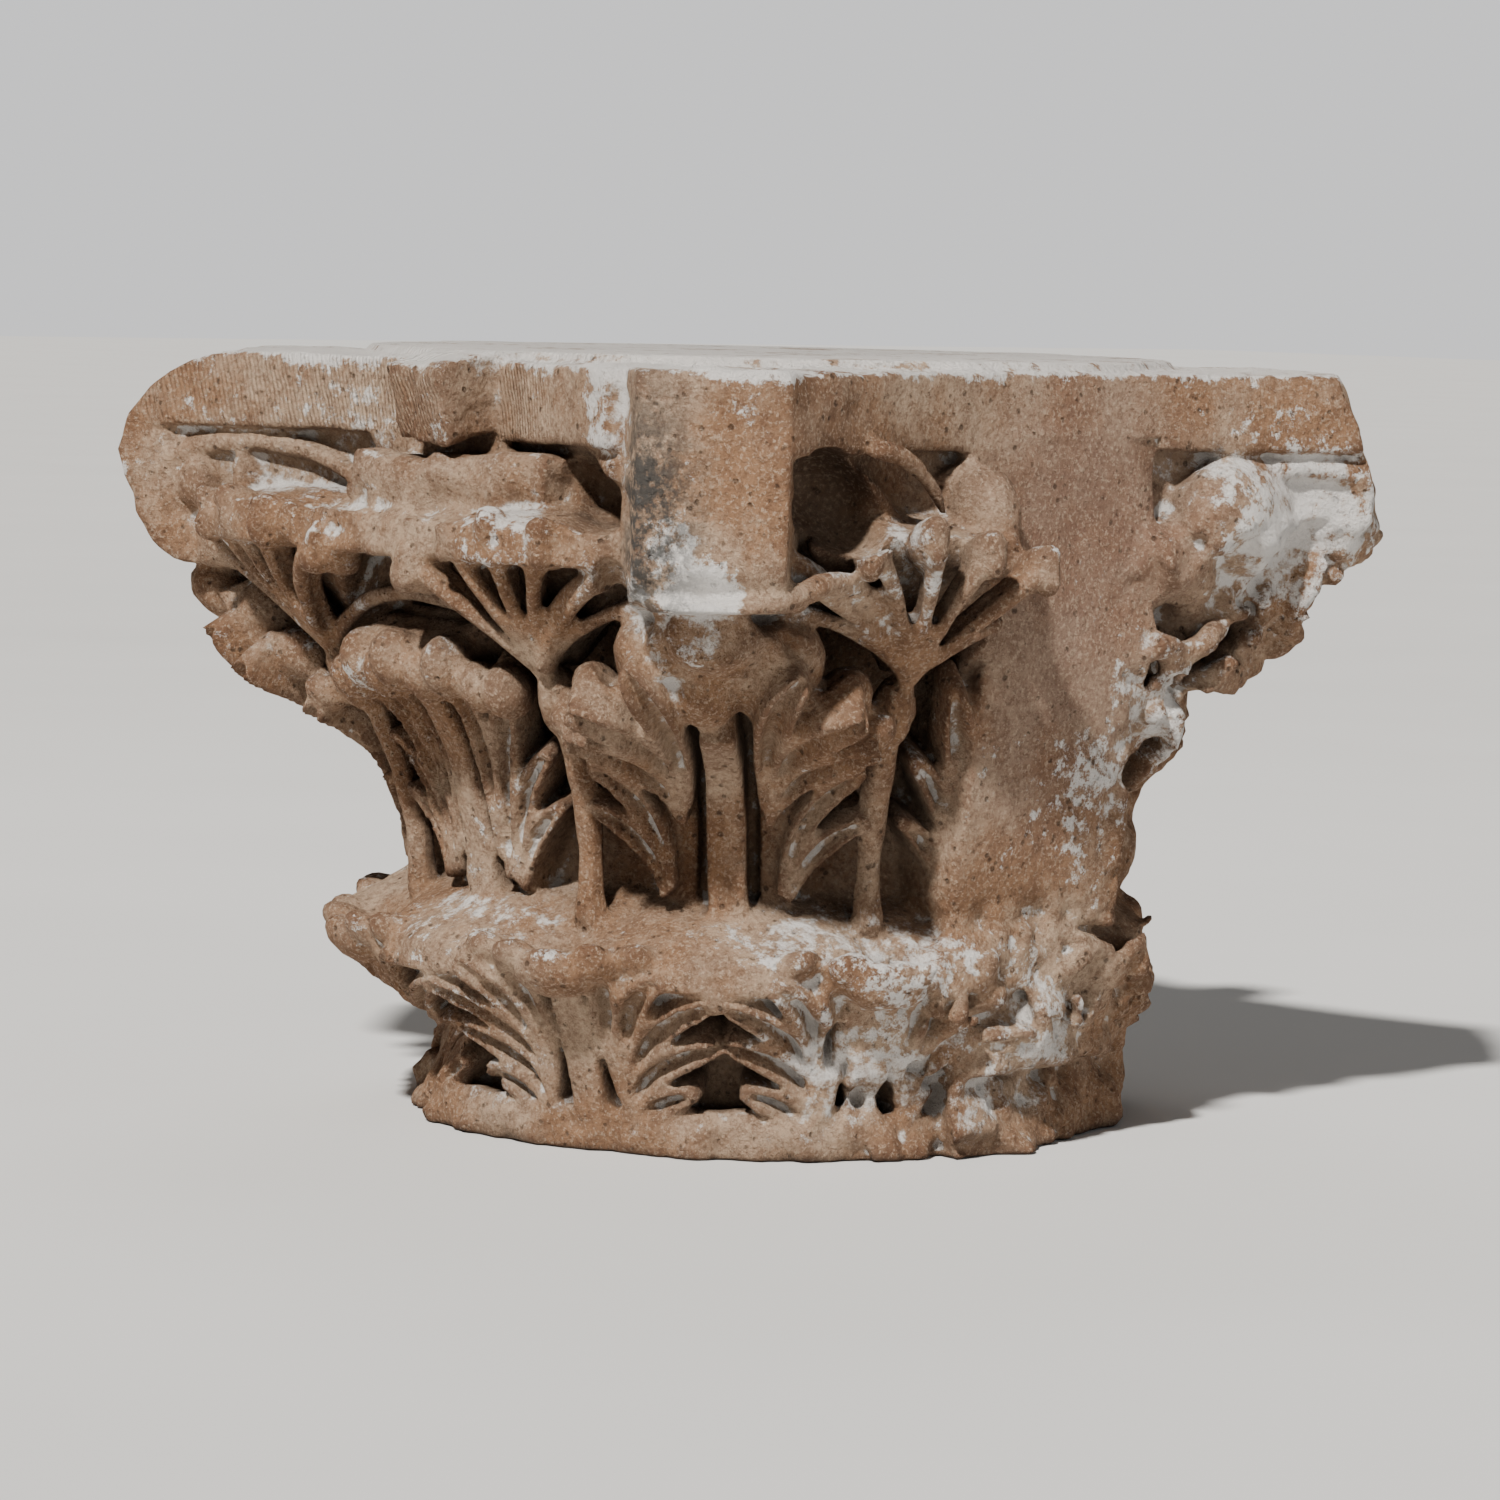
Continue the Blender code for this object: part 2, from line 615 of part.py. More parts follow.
def add_rough_foot(shape):
    """The part of the lower row where the leaves have broken away and left the block's rough body."""
    turn = np.linspace(36, 122, 20)[:, None]
    level = np.array([-0.02, 0.02, 0.06, 0.10, 0.14])[None, :]
    radius = np.array([0.252, 0.256, 0.257, 0.262, 0.262])[None, :] + 0.003 * np.sin(np.radians(turn * 9))
    front = polar(turn, radius, level)
    closed_between(shape, front, polar(turn, radius - 0.050, level))


def add_scroll_bands(shape):
    """The raised band of each scroll: it leaves the boss, climbs and turns down towards the corner."""
    outline = abacus_outline(ABACUS_REACH - 2 * SCROLL_BAND_INSET, ABACUS_CORNER_WIDTH, ABACUS_HOLLOW)
    per_side = len(outline) // FACES
    top = HEIGHT - BED_RISE - ABACUS_THICKNESS
    shares = np.linspace(0.0, 0.42, 12)
    heights = top + np.interp(shares, SCROLL_SHARES, SCROLL_LEVELS)
    for face in range(FACES):
        side = np.array(outline[face * per_side : (face + 1) * per_side])
        steps = np.linspace(0, 1, per_side)
        for along in (shares, 1 - shares):
            line = [np.interp(along, steps, side[:, axis]) for axis in (0, 1)]
            add_tube(shape, np.stack([*line, heights], 1), SCROLL_BAND_RADIUS)


def add_corner_lip(shape):
    """The lip under the near corner, which runs on into the arches on both sides."""
    for side in (-1, 1):
        line = smooth_line([(side * turn, radius, height) for turn, radius, height in CORNER_LIP], 3)
        girths = np.linspace(CORNER_LIP_RADIUS, ARCH_RADIUS, len(line))
        add_tube(shape, polar(line[:, 0], line[:, 1], line[:, 2]), girths)


def carving(collection):
    """All the leaves, in one mesh of overlapping closed blades."""
    shape = bmesh.new()
    for step in range(LEAVES):
        add_lower_leaf(shape, LEAF_STEP * (step + 0.5))
        add_calyx(shape, LEAF_STEP * (step + 0.5))
        add_stem(shape, LEAF_STEP * (step + 0.5))
    for azimuth in (*CORNER_AZIMUTHS, *FACE_AZIMUTHS):
        add_upper_leaf(shape, azimuth)
        add_arch(shape, azimuth)
    add_lower_shelf(shape)
    add_scroll_bands(shape)
    add_corner_lip(shape)
    add_rough_foot(shape)
    bmesh.ops.recalc_face_normals(shape, faces=shape.faces)
    mesh = bpy.data.meshes.new("leaves")
    shape.to_mesh(mesh)
    shape.free()
    return linked("leaves", mesh, collection)


def rough_pieces(collection):
    """Every piece of the form, each overlapping its neighbours, before they are made one."""
    top = HEIGHT - BED_RISE
    under = top - ABACUS_THICKNESS
    pieces = [bell(collection), bed(collection), carving(collection)]
    outline = abacus_outline(ABACUS_REACH, ABACUS_CORNER_WIDTH, ABACUS_HOLLOW)
    pieces.append(plate("abacus", outline, under, top, collection))
    inset = SCROLL_BAND_INSET
    outline = abacus_outline(ABACUS_REACH - 2 * inset, ABACUS_CORNER_WIDTH, ABACUS_HOLLOW)
    pieces.append(plate("scroll_band", outline, under - SCROLL_BAND_HEIGHT, under + 0.010, collection))
    for azimuth in CORNER_AZIMUTHS:
        profile = broken_volute_profile() if azimuth == BROKEN_CORNER else volute_profile()
        pieces.append(corner_mass(azimuth, profile, collection))
    boss_low = HEIGHT - BED_RISE - 0.004 - BOSS_HEIGHT
    boss = (BELL_RADIUS, BOSS_REACH, BOSS_WIDTH, boss_low, boss_low + BOSS_HEIGHT)
    stump = (BELL_RADIUS, STUMP_REACH, STUMP_WIDTH, STUMP_LOW, STUMP_HIGH)
    for azimuth in FACE_AZIMUTHS:
        if azimuth != SHEARED_FACE:
            pieces.append(block("boss", azimuth, *boss, collection, bevel=BOSS_ROUNDING))
            mass = block("scroll_stump", azimuth, *stump, collection)
            pieces.append(tilted(mass, azimuth, STUMP_REACH, STUMP_HIGH, STUMP_LEAN))
    tip = (BELL_RADIUS, TIP_BLOCK_REACH, TIP_BLOCK_WIDTH, TIP_BLOCK_LOW, TIP_BLOCK_HIGH)
    mass = block("leaf_tip_block", NEAR_CORNER, *tip, collection)
    pieces.append(tilted(mass, NEAR_CORNER, TIP_BLOCK_REACH, TIP_BLOCK_HIGH, TIP_BLOCK_LEAN))
    reach = (BELL_RADIUS, SHEAR_REACH)
    for lean, low, high in ((0.0, 0.315, top - 0.01), (SHEAR_LEAN, 0.150, 0.335)):
        mass = block("sheared_mass", SHEARED_FACE, *reach, SHEAR_WIDTH, low, high, collection)
        mass.data.transform(Matrix.Translation(sheared_offset()))
        pieces.append(tilted(mass, SHEARED_FACE, SHEAR_REACH, SHEAR_KNEE, lean))
    return pieces


def sheared_offset():
    """How far the sheared flat lies to the right of the middle of its face."""
    return Vector(SHEAR_OFFSET * polar(SHEARED_FACE + 90, 1.0, 0.0))


def tilted(cut, azimuth, radius, height, degrees):
    """Leans a piece about the level line that crosses that azimuth there: its lower end goes inwards."""
    hinge = Vector(polar(azimuth, radius, height))
    across = Vector(polar(azimuth + 90, 1.0, 0.0))
    lean = Matrix.Rotation(math.radians(degrees), 4, across)
    cut.data.transform(Matrix.Translation(hinge) @ lean @ Matrix.Translation(-hinge))
    return cut


def lobe_piece(name, azimuth, lobe, collection):
    """A rounded tip as an object of its own."""
    shape = bmesh.new()
    add_lobe(shape, azimuth, lobe)
    mesh = bpy.data.meshes.new(name)
    shape.to_mesh(mesh)
    shape.free()
    return linked(name, mesh, collection)


def joined(name, pieces, collection):
    """One mesh from the evaluated pieces, which are then removed."""
    bpy.context.view_layer.update()
    graph = bpy.context.evaluated_depsgraph_get()
    shape = bmesh.new()
    for piece in pieces:
        mesh = bpy.data.meshes.new_from_object(piece.evaluated_get(graph))
        mesh.transform(piece.matrix_world)
        shape.from_mesh(mesh)
        bpy.data.meshes.remove(mesh)
    bmesh.ops.remove_doubles(shape, verts=shape.verts, dist=0.00001)
    mesh = bpy.data.meshes.new(name)
    shape.to_mesh(mesh)
    shape.free()
    for piece in pieces:
        bpy.data.objects.remove(piece)
    return linked(name, mesh, collection)


def applied(made):
    """Replaces the object's mesh by its evaluated one and drops its modifiers."""
    bpy.context.view_layer.update()
    mesh = bpy.data.meshes.new_from_object(made.evaluated_get(bpy.context.evaluated_depsgraph_get()))
    made.modifiers.clear()
    made.data = mesh
    return made


def fused(made):
    """Makes one closed skin of everything in the object."""
    skin = made.modifiers.new("one_block", "REMESH")
    skin.mode = "VOXEL"
    skin.voxel_size = VOXEL
    return applied(made)


def as_cutter(made):
    """Marks a helper that only cuts."""
    made.hide_render = True
    made.display_type = "WIRE"
    return made


def breaks(collection):
    """Boxes set where the block has lost its edges, each taking off what lies past its inner face."""
    far = 0.30
    top = HEIGHT + 0.1
    cuts = []

    def loss(name, azimuth, radius, width, low, high, lean=0.0, hinge=0.0, offset=None):
        cutter = block(name, azimuth, radius, radius + far, width, low, high, collection)
        if offset:
            cutter.data.transform(Matrix.Translation(offset))
        cuts.append(as_cutter(tilted(cutter, azimuth, radius, hinge, lean)))

    for side in (-1, 1):
        hollow = Lobe(side * HOLLOW_PLACE, HOLLOW_HEIGHT, HOLLOW_REACH, 0.036, 0.042, 0.020)
        cuts.append(as_cutter(lobe_piece("scroll_hollow", NEAR_CORNER, hollow, collection)))
    loss("near_corner_loss", NEAR_CORNER, 0.430, 0.5, 0.374, top)
    beside = Vector(NEAR_SIDE_OFFSET * polar(NEAR_SIDE + 90, 1.0, 0.0))
    loss("near_side_loss", NEAR_SIDE, 0.162, 0.10, 0.370, top, offset=beside)
    loss("near_leaf_tip_loss", NEAR_CORNER, 0.392, 0.12, 0.290, 0.370, -6, 0.340)
    loss("worn_corner_loss", WORN_CORNER, 0.438, 0.5, 0.438, 0.80, -36, 0.488)
    loss("worn_edge_loss", WORN_CORNER, 0.400, 0.5, 0.462, 0.80, -62, 0.512)
    loss("broken_corner_loss", BROKEN_CORNER, 0.404, 0.5, 0.435, top, -19, 0.490)
    loss("broken_nose_loss", BROKEN_CORNER, 0.420, 0.5, 0.380, 0.500)
    loss("broken_leaf_loss", BROKEN_CORNER, 0.372, 0.34, 0.238, 0.466, 39, 0.364)
    loss("broken_side_loss", BROKEN_CORNER, 0.290, 0.30, 0.175, 0.290, 6, 0.280)
    beside = Vector(BOSS_CHIP_OFFSET * polar(BOSS_FACE + 90, 1.0, 0.0))
    loss("boss_chip", BOSS_FACE, 0.318, 0.06, 0.470, 0.540, -20, 0.500, beside)
    flat = (SHEARED_FACE, SHEAR_REACH, SHEAR_WIDTH)
    aside = sheared_offset()
    loss("sheared_loss", *flat, SHEAR_KNEE, top, 0.0, 0.0, aside)
    loss("sheared_foot_loss", *flat, 0.165, SHEAR_KNEE + 0.01, SHEAR_LEAN, SHEAR_KNEE, aside)
    loss("foot_loss_left", -78, 0.230, 0.24, -0.2, 0.06, -24, 0.020)
    loss("foot_loss_right", 62, 0.246, 0.20, -0.2, 0.05, -20, 0.015)
    loss("lip_loss_right", 50, 0.270, 0.24, -0.2, 0.165, -4, 0.080)
    loss("lip_loss_far_right", 95, 0.266, 0.24, -0.2, 0.165, -4, 0.080)
    return cuts


def cut_by(made, cutters, solver="EXACT"):
    """Adds Boolean modifiers that take the cutters off the object."""
    for cutter in cutters:
        boolean = made.modifiers.new(cutter.name, "BOOLEAN")
        boolean.operation = "DIFFERENCE"
        boolean.solver = solver
        boolean.object = cutter


def marble():
    """Plain weathered marble."""
    material = bpy.data.materials.new("weathered_marble")
    material.use_nodes = True
    shader = material.node_tree.nodes["Principled BSDF"]
    shader.inputs["Base Color"].default_value = MARBLE_COLOUR
    shader.inputs["Roughness"].default_value = MARBLE_ROUGHNESS
    shader.inputs["Metallic"].default_value = 0.0
    return material


def beds(collection):
    """Cutters that leave the lower bed and the raised bed exactly flat."""
    wide = 2.0
    under = block("under_lower_bed", 0, -wide, wide, 2 * wide, -0.5, 0.0, collection)
    over = block("over_raised_bed", 0, -wide, wide, 2 * wide, HEIGHT, HEIGHT + 0.5, collection)
    return [as_cutter(under), as_cutter(over)]


def main():
    """Builds the capital as one solid."""
    for old in list(bpy.data.objects):
        bpy.data.objects.remove(old)
    parts = bpy.data.collections.new("marble_capital")
    cutters = bpy.data.collections.new("cutters")
    for collection in (parts, cutters):
        bpy.context.scene.collection.children.link(collection)

    capital = fused(joined("capital", rough_pieces(parts), parts))
    cut_by(capital, breaks(cutters))
    fused(capital)
    worn = capital.modifiers.new("worn_edges", "SMOOTH")
    worn.factor = SMOOTHING
    worn.iterations = 3
    thin = capital.modifiers.new("facets", "DECIMATE")
    faces = sum(len(polygon.vertices) - 2 for polygon in capital.data.polygons)
    thin.ratio = TRIANGLES / faces
    applied(capital)
    cut_by(capital, beds(cutters))
    capital.data.materials.append(marble())


main()
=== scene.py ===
"""The weathered marble capital: its fine carving, losses and stone, on a plain floor.

Metres, +Z up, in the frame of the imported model: the origin is the centre of the lower bed. An azimuth is
counted in degrees from the near corner of the abacus, which lies between +X and -Y. A point of the carving
is given by its azimuth, its height above the lower bed and its radius.
"""

import logging
import math
from dataclasses import dataclass, field
from enum import Enum

import bmesh
import bpy
import numpy as np
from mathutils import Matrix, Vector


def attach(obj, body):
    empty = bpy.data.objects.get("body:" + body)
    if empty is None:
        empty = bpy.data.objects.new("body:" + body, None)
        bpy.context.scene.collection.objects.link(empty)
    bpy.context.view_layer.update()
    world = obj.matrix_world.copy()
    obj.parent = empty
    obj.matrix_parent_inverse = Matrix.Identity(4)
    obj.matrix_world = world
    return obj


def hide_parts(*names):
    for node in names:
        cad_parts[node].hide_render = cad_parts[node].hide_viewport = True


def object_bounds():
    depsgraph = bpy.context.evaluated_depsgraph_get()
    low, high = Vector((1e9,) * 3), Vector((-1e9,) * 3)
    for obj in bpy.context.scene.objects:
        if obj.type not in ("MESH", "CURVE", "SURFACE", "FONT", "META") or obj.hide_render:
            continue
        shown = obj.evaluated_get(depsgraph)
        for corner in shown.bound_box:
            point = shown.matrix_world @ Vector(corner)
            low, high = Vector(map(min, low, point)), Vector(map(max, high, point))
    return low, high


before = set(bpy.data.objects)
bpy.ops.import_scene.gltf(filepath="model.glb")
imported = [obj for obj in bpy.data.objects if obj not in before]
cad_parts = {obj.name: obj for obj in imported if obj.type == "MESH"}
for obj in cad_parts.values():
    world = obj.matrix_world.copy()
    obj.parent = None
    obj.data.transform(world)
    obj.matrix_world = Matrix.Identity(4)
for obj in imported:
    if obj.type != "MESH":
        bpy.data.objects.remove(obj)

import openvdb
from mathutils import Matrix, Vector

NODE = "capital"
ZERO_AZIMUTH = -45
LEAVES = 8
LEAF_STEP = 360 / LEAVES
CAD_BOX = [list(corner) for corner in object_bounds()]

log = logging.getLogger("marble_capital")


class Corner(Enum):
    """The abacus corners, by azimuth."""

    NEAR = 0
    RIGHT = 90
    FAR = 180
    LEFT = -90


class Face(Enum):
    """The abacus faces, by azimuth."""

    BOSS = -45
    SHEARED = 45
    BACK_RIGHT = 135
    BACK_LEFT = -135


@dataclass(frozen=True)
class Block:
    """The sizes of the block and its abacus.

    Attributes are metres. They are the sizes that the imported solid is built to.
    """

    height: float = 0.530
    bed_rise: float = 0.006
    bed_radius: float = 0.278
    abacus_thickness: float = 0.052
    abacus_reach: float = 0.447
    corner_width: float = 0.086
    abacus_hollow: float = 0.060
    scroll_height: float = 0.046
    scroll_inset: float = 0.005
    base_radius: float = 0.240
    neck_radius: float = 0.243
    neck_height: float = 0.168
    bell_radius: float = 0.212
    bell_lip_radius: float = 0.285

    @property
    def abacus_top(self) -> float:
        """Height of the abacus round the raised bed."""
        return self.height - self.bed_rise

    @property
    def abacus_under(self) -> float:
        """Height of the underside of the abacus."""
        return self.abacus_top - self.abacus_thickness


def smooth_line(points: list, steps: int = 8) -> np.ndarray:
    """Draws a Catmull-Rom curve through points.

    Args:
        points: The points to pass through.
        steps: Parts per span.

    Returns:
        The points of the curve.
    """
    knots = np.asarray(points, float)
    ends = np.vstack([2 * knots[0] - knots[1], knots, 2 * knots[-1] - knots[-2]])
    line = []
    for before, start, end, after in zip(ends, ends[1:], ends[2:], ends[3:]):
        for share in np.arange(steps) / steps:
            cubic = 3 * start - before - 3 * end + after
            square = 2 * before - 5 * start + 4 * end - after
            line.append(0.5 * (2 * start + (end - before) * share + square * share**2 + cubic * share**3))
    return np.array([*line, knots[-1]])


def polar(azimuth, radius, height) -> np.ndarray:
    """Returns the points at those azimuths, radii and heights."""
    turn = np.radians(np.asarray(azimuth) + ZERO_AZIMUTH)
    return np.stack(np.broadcast_arrays(radius * np.cos(turn), radius * np.sin(turn), height), -1)


def upright(azimuth: float) -> Matrix:
    """Returns a frame with x across the azimuth, y inwards and z up."""
    return Matrix.Rotation(math.radians(azimuth + ZERO_AZIMUTH + 90), 4, "Z")


def from_face_centre(azimuth) -> np.ndarray:
    """Returns degrees from the middle of the nearest face."""
    return 45 - np.abs((np.asarray(azimuth) + 45) % 90 - 45)


def from_lower_leaf(azimuth) -> np.ndarray:
    """Returns degrees from the middle of the nearest lower leaf."""
    half = LEAF_STEP / 2
    return half - np.abs(np.asarray(azimuth) % LEAF_STEP - half)


class Rise:
    """A carved surface that climbs the bell.

    Args:
        points: Radius and height from the foot to the tip.
        lean: How far it leans out at an azimuth and height, or None.
    """

    def __init__(self, points: list, lean=None) -> None:
        """Keeps the surface as radii against heights."""
        line = smooth_line(points)
        self.radii, self.heights = line[:, 0], np.maximum.accumulate(line[:, 1])
        self.lean = lean

    def radius(self, azimuth, height) -> np.ndarray:
        """Returns the radius of the surface there."""
        found = np.interp(height, self.heights, self.radii)
        return found if self.lean is None else found + self.lean(azimuth, height)

    def point(self, azimuth, height, proud) -> np.ndarray:
        """Finds points proud of the surface.

        Args:
            azimuth: Degrees from the near corner.
            height: Height on the surface.
            proud: Distance out of the surface, square to it in the upright plane.

        Returns:
            The points.
        """
        step = 0.003
        low, high = self.radius(azimuth, height - step), self.radius(azimuth, height + step)
        slope = (high - low) / (2 * step)
        size = np.sqrt(1 + slope**2)
        return polar(azimuth, self.radius(azimuth, height) + proud / size, height - proud * slope / size)


@dataclass(frozen=True)
class Leaflet:
    """One blade of a leaf: where its line starts and ends, across the leaf and in height, and its width."""

    root_across: float
    root_height: float
    tip_across: float
    tip_height: float
    half_width: float


@dataclass(frozen=True)
class Lobe:
    """A rounded tip that turns over along a lip: its place on the leaf and its half sizes."""

    across: float
    height: float
    radius: float
    half_width: float
    half_depth: float
    half_height: float
    tilt: float = -20.0


class Carving:
    """A mesh of overlapping closed blades, rods and lobes, made one later."""

    def __init__(self) -> None:
        """Starts an empty mesh and its seeded chance."""
        self.shape = bmesh.new()
        self.chance = np.random.default_rng(7)

    def between(self, front: np.ndarray, back: np.ndarray) -> None:
        """Adds the closed body between two grids of points.

        Args:
            front: Rows and columns of outer points.
            back: The same of inner points.
        """
        rows, columns = front.shape[:2]
        outer = [[self.shape.verts.new(point) for point in row] for row in front]
        inner = [[self.shape.verts.new(point) for point in row] for row in back]
        for i in range(rows - 1):
            for j in range(columns - 1):
                self.shape.faces.new((outer[i][j], outer[i][j + 1], outer[i + 1][j + 1], outer[i + 1][j]))
                self.shape.faces.new((inner[i][j], inner[i + 1][j], inner[i + 1][j + 1], inner[i][j + 1]))
        border = [(0, j) for j in range(columns - 1)] + [(i, columns - 1) for i in range(rows - 1)]
        border += [(rows - 1, j) for j in range(columns - 1, 0, -1)]
        border += [(i, 0) for i in range(rows - 1, 0, -1)]
        for (i, j), (k, m) in zip(border, border[1:] + border[:1]):
            self.shape.faces.new((outer[k][m], outer[i][j], inner[i][j], inner[k][m]))

    def strip(
        self, azimuth: float, rise: Rise, heights, inner, outer, proud: float, depth: float
    ) -> None:
        """Adds a strip of a leaf between two lines.

        Args:
            azimuth: The leaf's azimuth.
            rise: The surface it follows.
            heights: Heights at which the lines are given.
            inner: Places of the first line across the leaf.
            outer: Places of the second line.
            proud: Distance out of the surface.
            depth: Thickness.
        """
        rows = np.linspace(heights[0], heights[-1], 24)[:, None]
        share = np.linspace(0, 1, 9)[None, :]
        low = np.interp(rows, heights, inner)
        high = np.interp(rows, heights, outer)
        turn = azimuth + np.degrees((low + (high - low) * share) / rise.radius(azimuth, rows))
        level = rows + 0 * share
        self.between(rise.point(turn, level, proud), rise.point(turn, level, proud - depth))

    def leaflet(
        self, azimuth: float, rise: Rise, blade: Leaflet, side: int, relief: float, depth: float
    ) -> None:
        """Adds a blade with a sunk flute between two rims.

        Args:
            azimuth: The leaf's azimuth.
            rise: The surface it follows.
            blade: Its line and width.
            side: -1 for the left half of the leaf, 1 for the right.
            relief: Height of its rims over the sunk flute's outer fall.
            depth: Thickness.
        """
        share = np.linspace(0, 1, 18)[:, None]
        run = blade.tip_across - blade.root_across
        climb = blade.tip_height - blade.root_height
        wobble = self.chance.uniform(-0.0025, 0.0025, 2)
        root = np.array([blade.root_across, blade.root_height])
        bend = root + np.array([0.10 * run, 0.64 * climb]) + wobble
        tip = np.array([blade.tip_across, blade.tip_height]) + wobble
        line = (1 - share) ** 2 * root + 2 * share * (1 - share) * bend + share**2 * tip
        along = np.gradient(line, axis=0)
        along /= np.linalg.norm(along, axis=1)[:, None]
        sideways = np.stack([along[:, 1], -along[:, 0]], 1)
        width = blade.half_width * np.clip(1.75 * (share + 0.14) * (1.05 - share) ** 0.6, 0, 1)
        across = np.array([-1, -0.92, -0.56, -0.30, 0, 0.30, 0.56, 0.92, 1])[None, :]
        place = line[:, None, :] + sideways[:, None, :] * (across * width)[:, :, None]
        fall = np.array([-1.2, -0.06, 0.0, -0.72, -0.98, -0.72, 0.0, -0.06, -1.2])[None, :]
        lift = 0.25 * np.clip(share - 0.6, 0, 1) / 0.4
        rim = (fall + lift) * relief
        turn = azimuth + side * np.degrees(place[:, :, 0] / rise.radius(azimuth, place[:, :, 1]))
        front = rise.point(turn, place[:, :, 1], rim)
        self.between(front, rise.point(turn, place[:, :, 1], rim - depth))

    def lobe(self, azimuth: float, lobe: Lobe) -> None:
        """Adds a rounded tip on the leaf at that azimuth."""
        turn = azimuth + math.degrees(lobe.across / lobe.radius)
        size = Matrix.Diagonal((lobe.half_width, lobe.half_depth, lobe.half_height, 1))
        place = Matrix.Translation((0, -lobe.radius + 0.4 * lobe.half_depth, lobe.height))
        tip = Matrix.Rotation(math.radians(lobe.tilt), 4, "X")
        matrix = upright(turn) @ place @ tip @ size
        bmesh.ops.create_icosphere(self.shape, subdivisions=2, radius=1, matrix=matrix)

    def rod(self, points, radii, flutes: int = 0) -> None:
        """Adds a rod along points.

        Args:
            points: Its middle line.
            radii: One radius, or one for each point.
            flutes: How many flutes run along it.
        """
        points = np.asarray(points, float)
        radii = np.broadcast_to(radii, len(points))
        along = np.gradient(points, axis=0)
        along /= np.linalg.norm(along, axis=1)[:, None]
        side = np.cross(along, points * (1, 1, 0))
        side /= np.linalg.norm(side, axis=1)[:, None]
        out = np.cross(side, along)
        count = 16
        rings = []
        for point, one, other, radius in zip(points, side, out, radii):
            ring = []
            for step in range(count):
                turn = 2 * math.pi * step / count
                girth = radius * (1 + 0.16 * math.cos(flutes * turn)) if flutes else radius
                place = point + girth * (math.cos(turn) * one + math.sin(turn) * other)
                ring.append(self.shape.verts.new(place))
            rings.append(ring)
        for low, high in zip(rings, rings[1:]):
            for step in range(count):
                after = (step + 1) % count
                self.shape.faces.new((low[step], low[after], high[after], high[step]))
        self.shape.faces.new(rings[0][::-1])
        self.shape.faces.new(rings[-1])

    def box(self, azimuth: float, reach, width, levels, shift: float = 0.0, lean: float = 0.0) -> None:
        """Adds a box that stands out along an azimuth.

        Args:
            azimuth: Its azimuth.
            reach: Inner and outer radius.
            width: Its width across.
            levels: Its low and high level.
            shift: How far it stands aside.
            lean: Degrees by which its lower end goes inwards, about its outer upper edge.
        """
        inner, outer = reach
        low, high = levels
        size = Matrix.Diagonal((width, outer - inner, high - low, 1))
        place = Matrix.Translation((shift, -(inner + outer) / 2, (low + high) / 2))
        hinge = Matrix.Translation((0, -outer, high))
        turn = hinge @ Matrix.Rotation(math.radians(lean), 4, "X") @ hinge.inverted()
        bmesh.ops.create_cube(self.shape, size=1, matrix=upright(azimuth) @ turn @ place @ size)

    def plate(self, outline: list, low: float, high: float) -> None:
        """Adds a flat outline with thickness from one level to another."""
        rings = []
        for level in (low, high):
            rings.append([self.shape.verts.new((point[0], point[1], level)) for point in outline])
        count = len(outline)
        for step in range(count):
            after = (step + 1) % count
            self.shape.faces.new((rings[0][step], rings[0][after], rings[1][after], rings[1][step]))
        self.shape.faces.new(rings[0][::-1])
        self.shape.faces.new(rings[1])

    def turned(self, profile: list, steps: int = 128) -> None:
        """Adds a body turned about the axis from its radii and heights, top to bottom."""
        turn = np.arange(steps) * 360 / steps
        rings = []
        for radius, height in profile:
            rings.append([self.shape.verts.new(point) for point in polar(turn, radius, height)])
        for high, low in zip(rings, rings[1:]):
            for step in range(steps):
                after = (step + 1) % steps
                self.shape.faces.new((low[step], low[after], high[after], high[step]))
        self.shape.faces.new(rings[0])
        self.shape.faces.new(rings[-1][::-1])

    def mesh(self, name: str) -> bpy.types.Mesh:
        """Returns the blades as a mesh."""
        made = bpy.data.meshes.new(name)
        self.shape.to_mesh(made)
        self.shape.free()
        return made


@dataclass(frozen=True)
class Leaf:
    """A carved leaf: ground, halves beside two drilled channels, rib, leaflets and lip."""

    azimuth: float
    rise: Rise
    heights: tuple
    half_widths: tuple
    leaflets: tuple
    lobes: tuple
    rib_top: float
    rib_width: float = 0.024
    channel: float = 0.010
    channel_depth: float = 0.034
    thickness: float = 0.020
    relief: float = 0.0145

    def build(self, carving: Carving) -> None:
        """Adds the leaf to the carving."""
        widths = np.asarray(self.half_widths)
        ground = 0.70 * widths
        carving.strip(
            self.azimuth, self.rise, self.heights, -ground, ground, -self.channel_depth, self.thickness
        )
        half = self.rib_width / 2
        foot = (self.heights[0], self.rib_top)
        depth = self.channel_depth + 0.6 * self.thickness
        carving.strip(self.azimuth, self.rise, foot, (-1.15 * half, -half), (1.15 * half, half), 0.0, depth)
        inner = np.where(np.asarray(self.heights) < self.rib_top, half + self.channel, 0.0)
        edge = 0.62 * widths
        for side in (-1, 1):
            carving.strip(
                self.azimuth, self.rise, self.heights, side * inner, side * edge, -1.3 * self.relief, 0.024
            )
            for blade in self.leaflets:
                carving.leaflet(self.azimuth, self.rise, blade, side, self.relief, 0.028)
            for lobe in self.lobes:
                if lobe.across or side == 1:
                    placed = Lobe(side * lobe.across, *[getattr(lobe, name) for name in LOBE_FIELDS])
                    carving.lobe(self.azimuth, placed)


LOBE_FIELDS = ("height", "radius", "half_width", "half_depth", "half_height", "tilt")


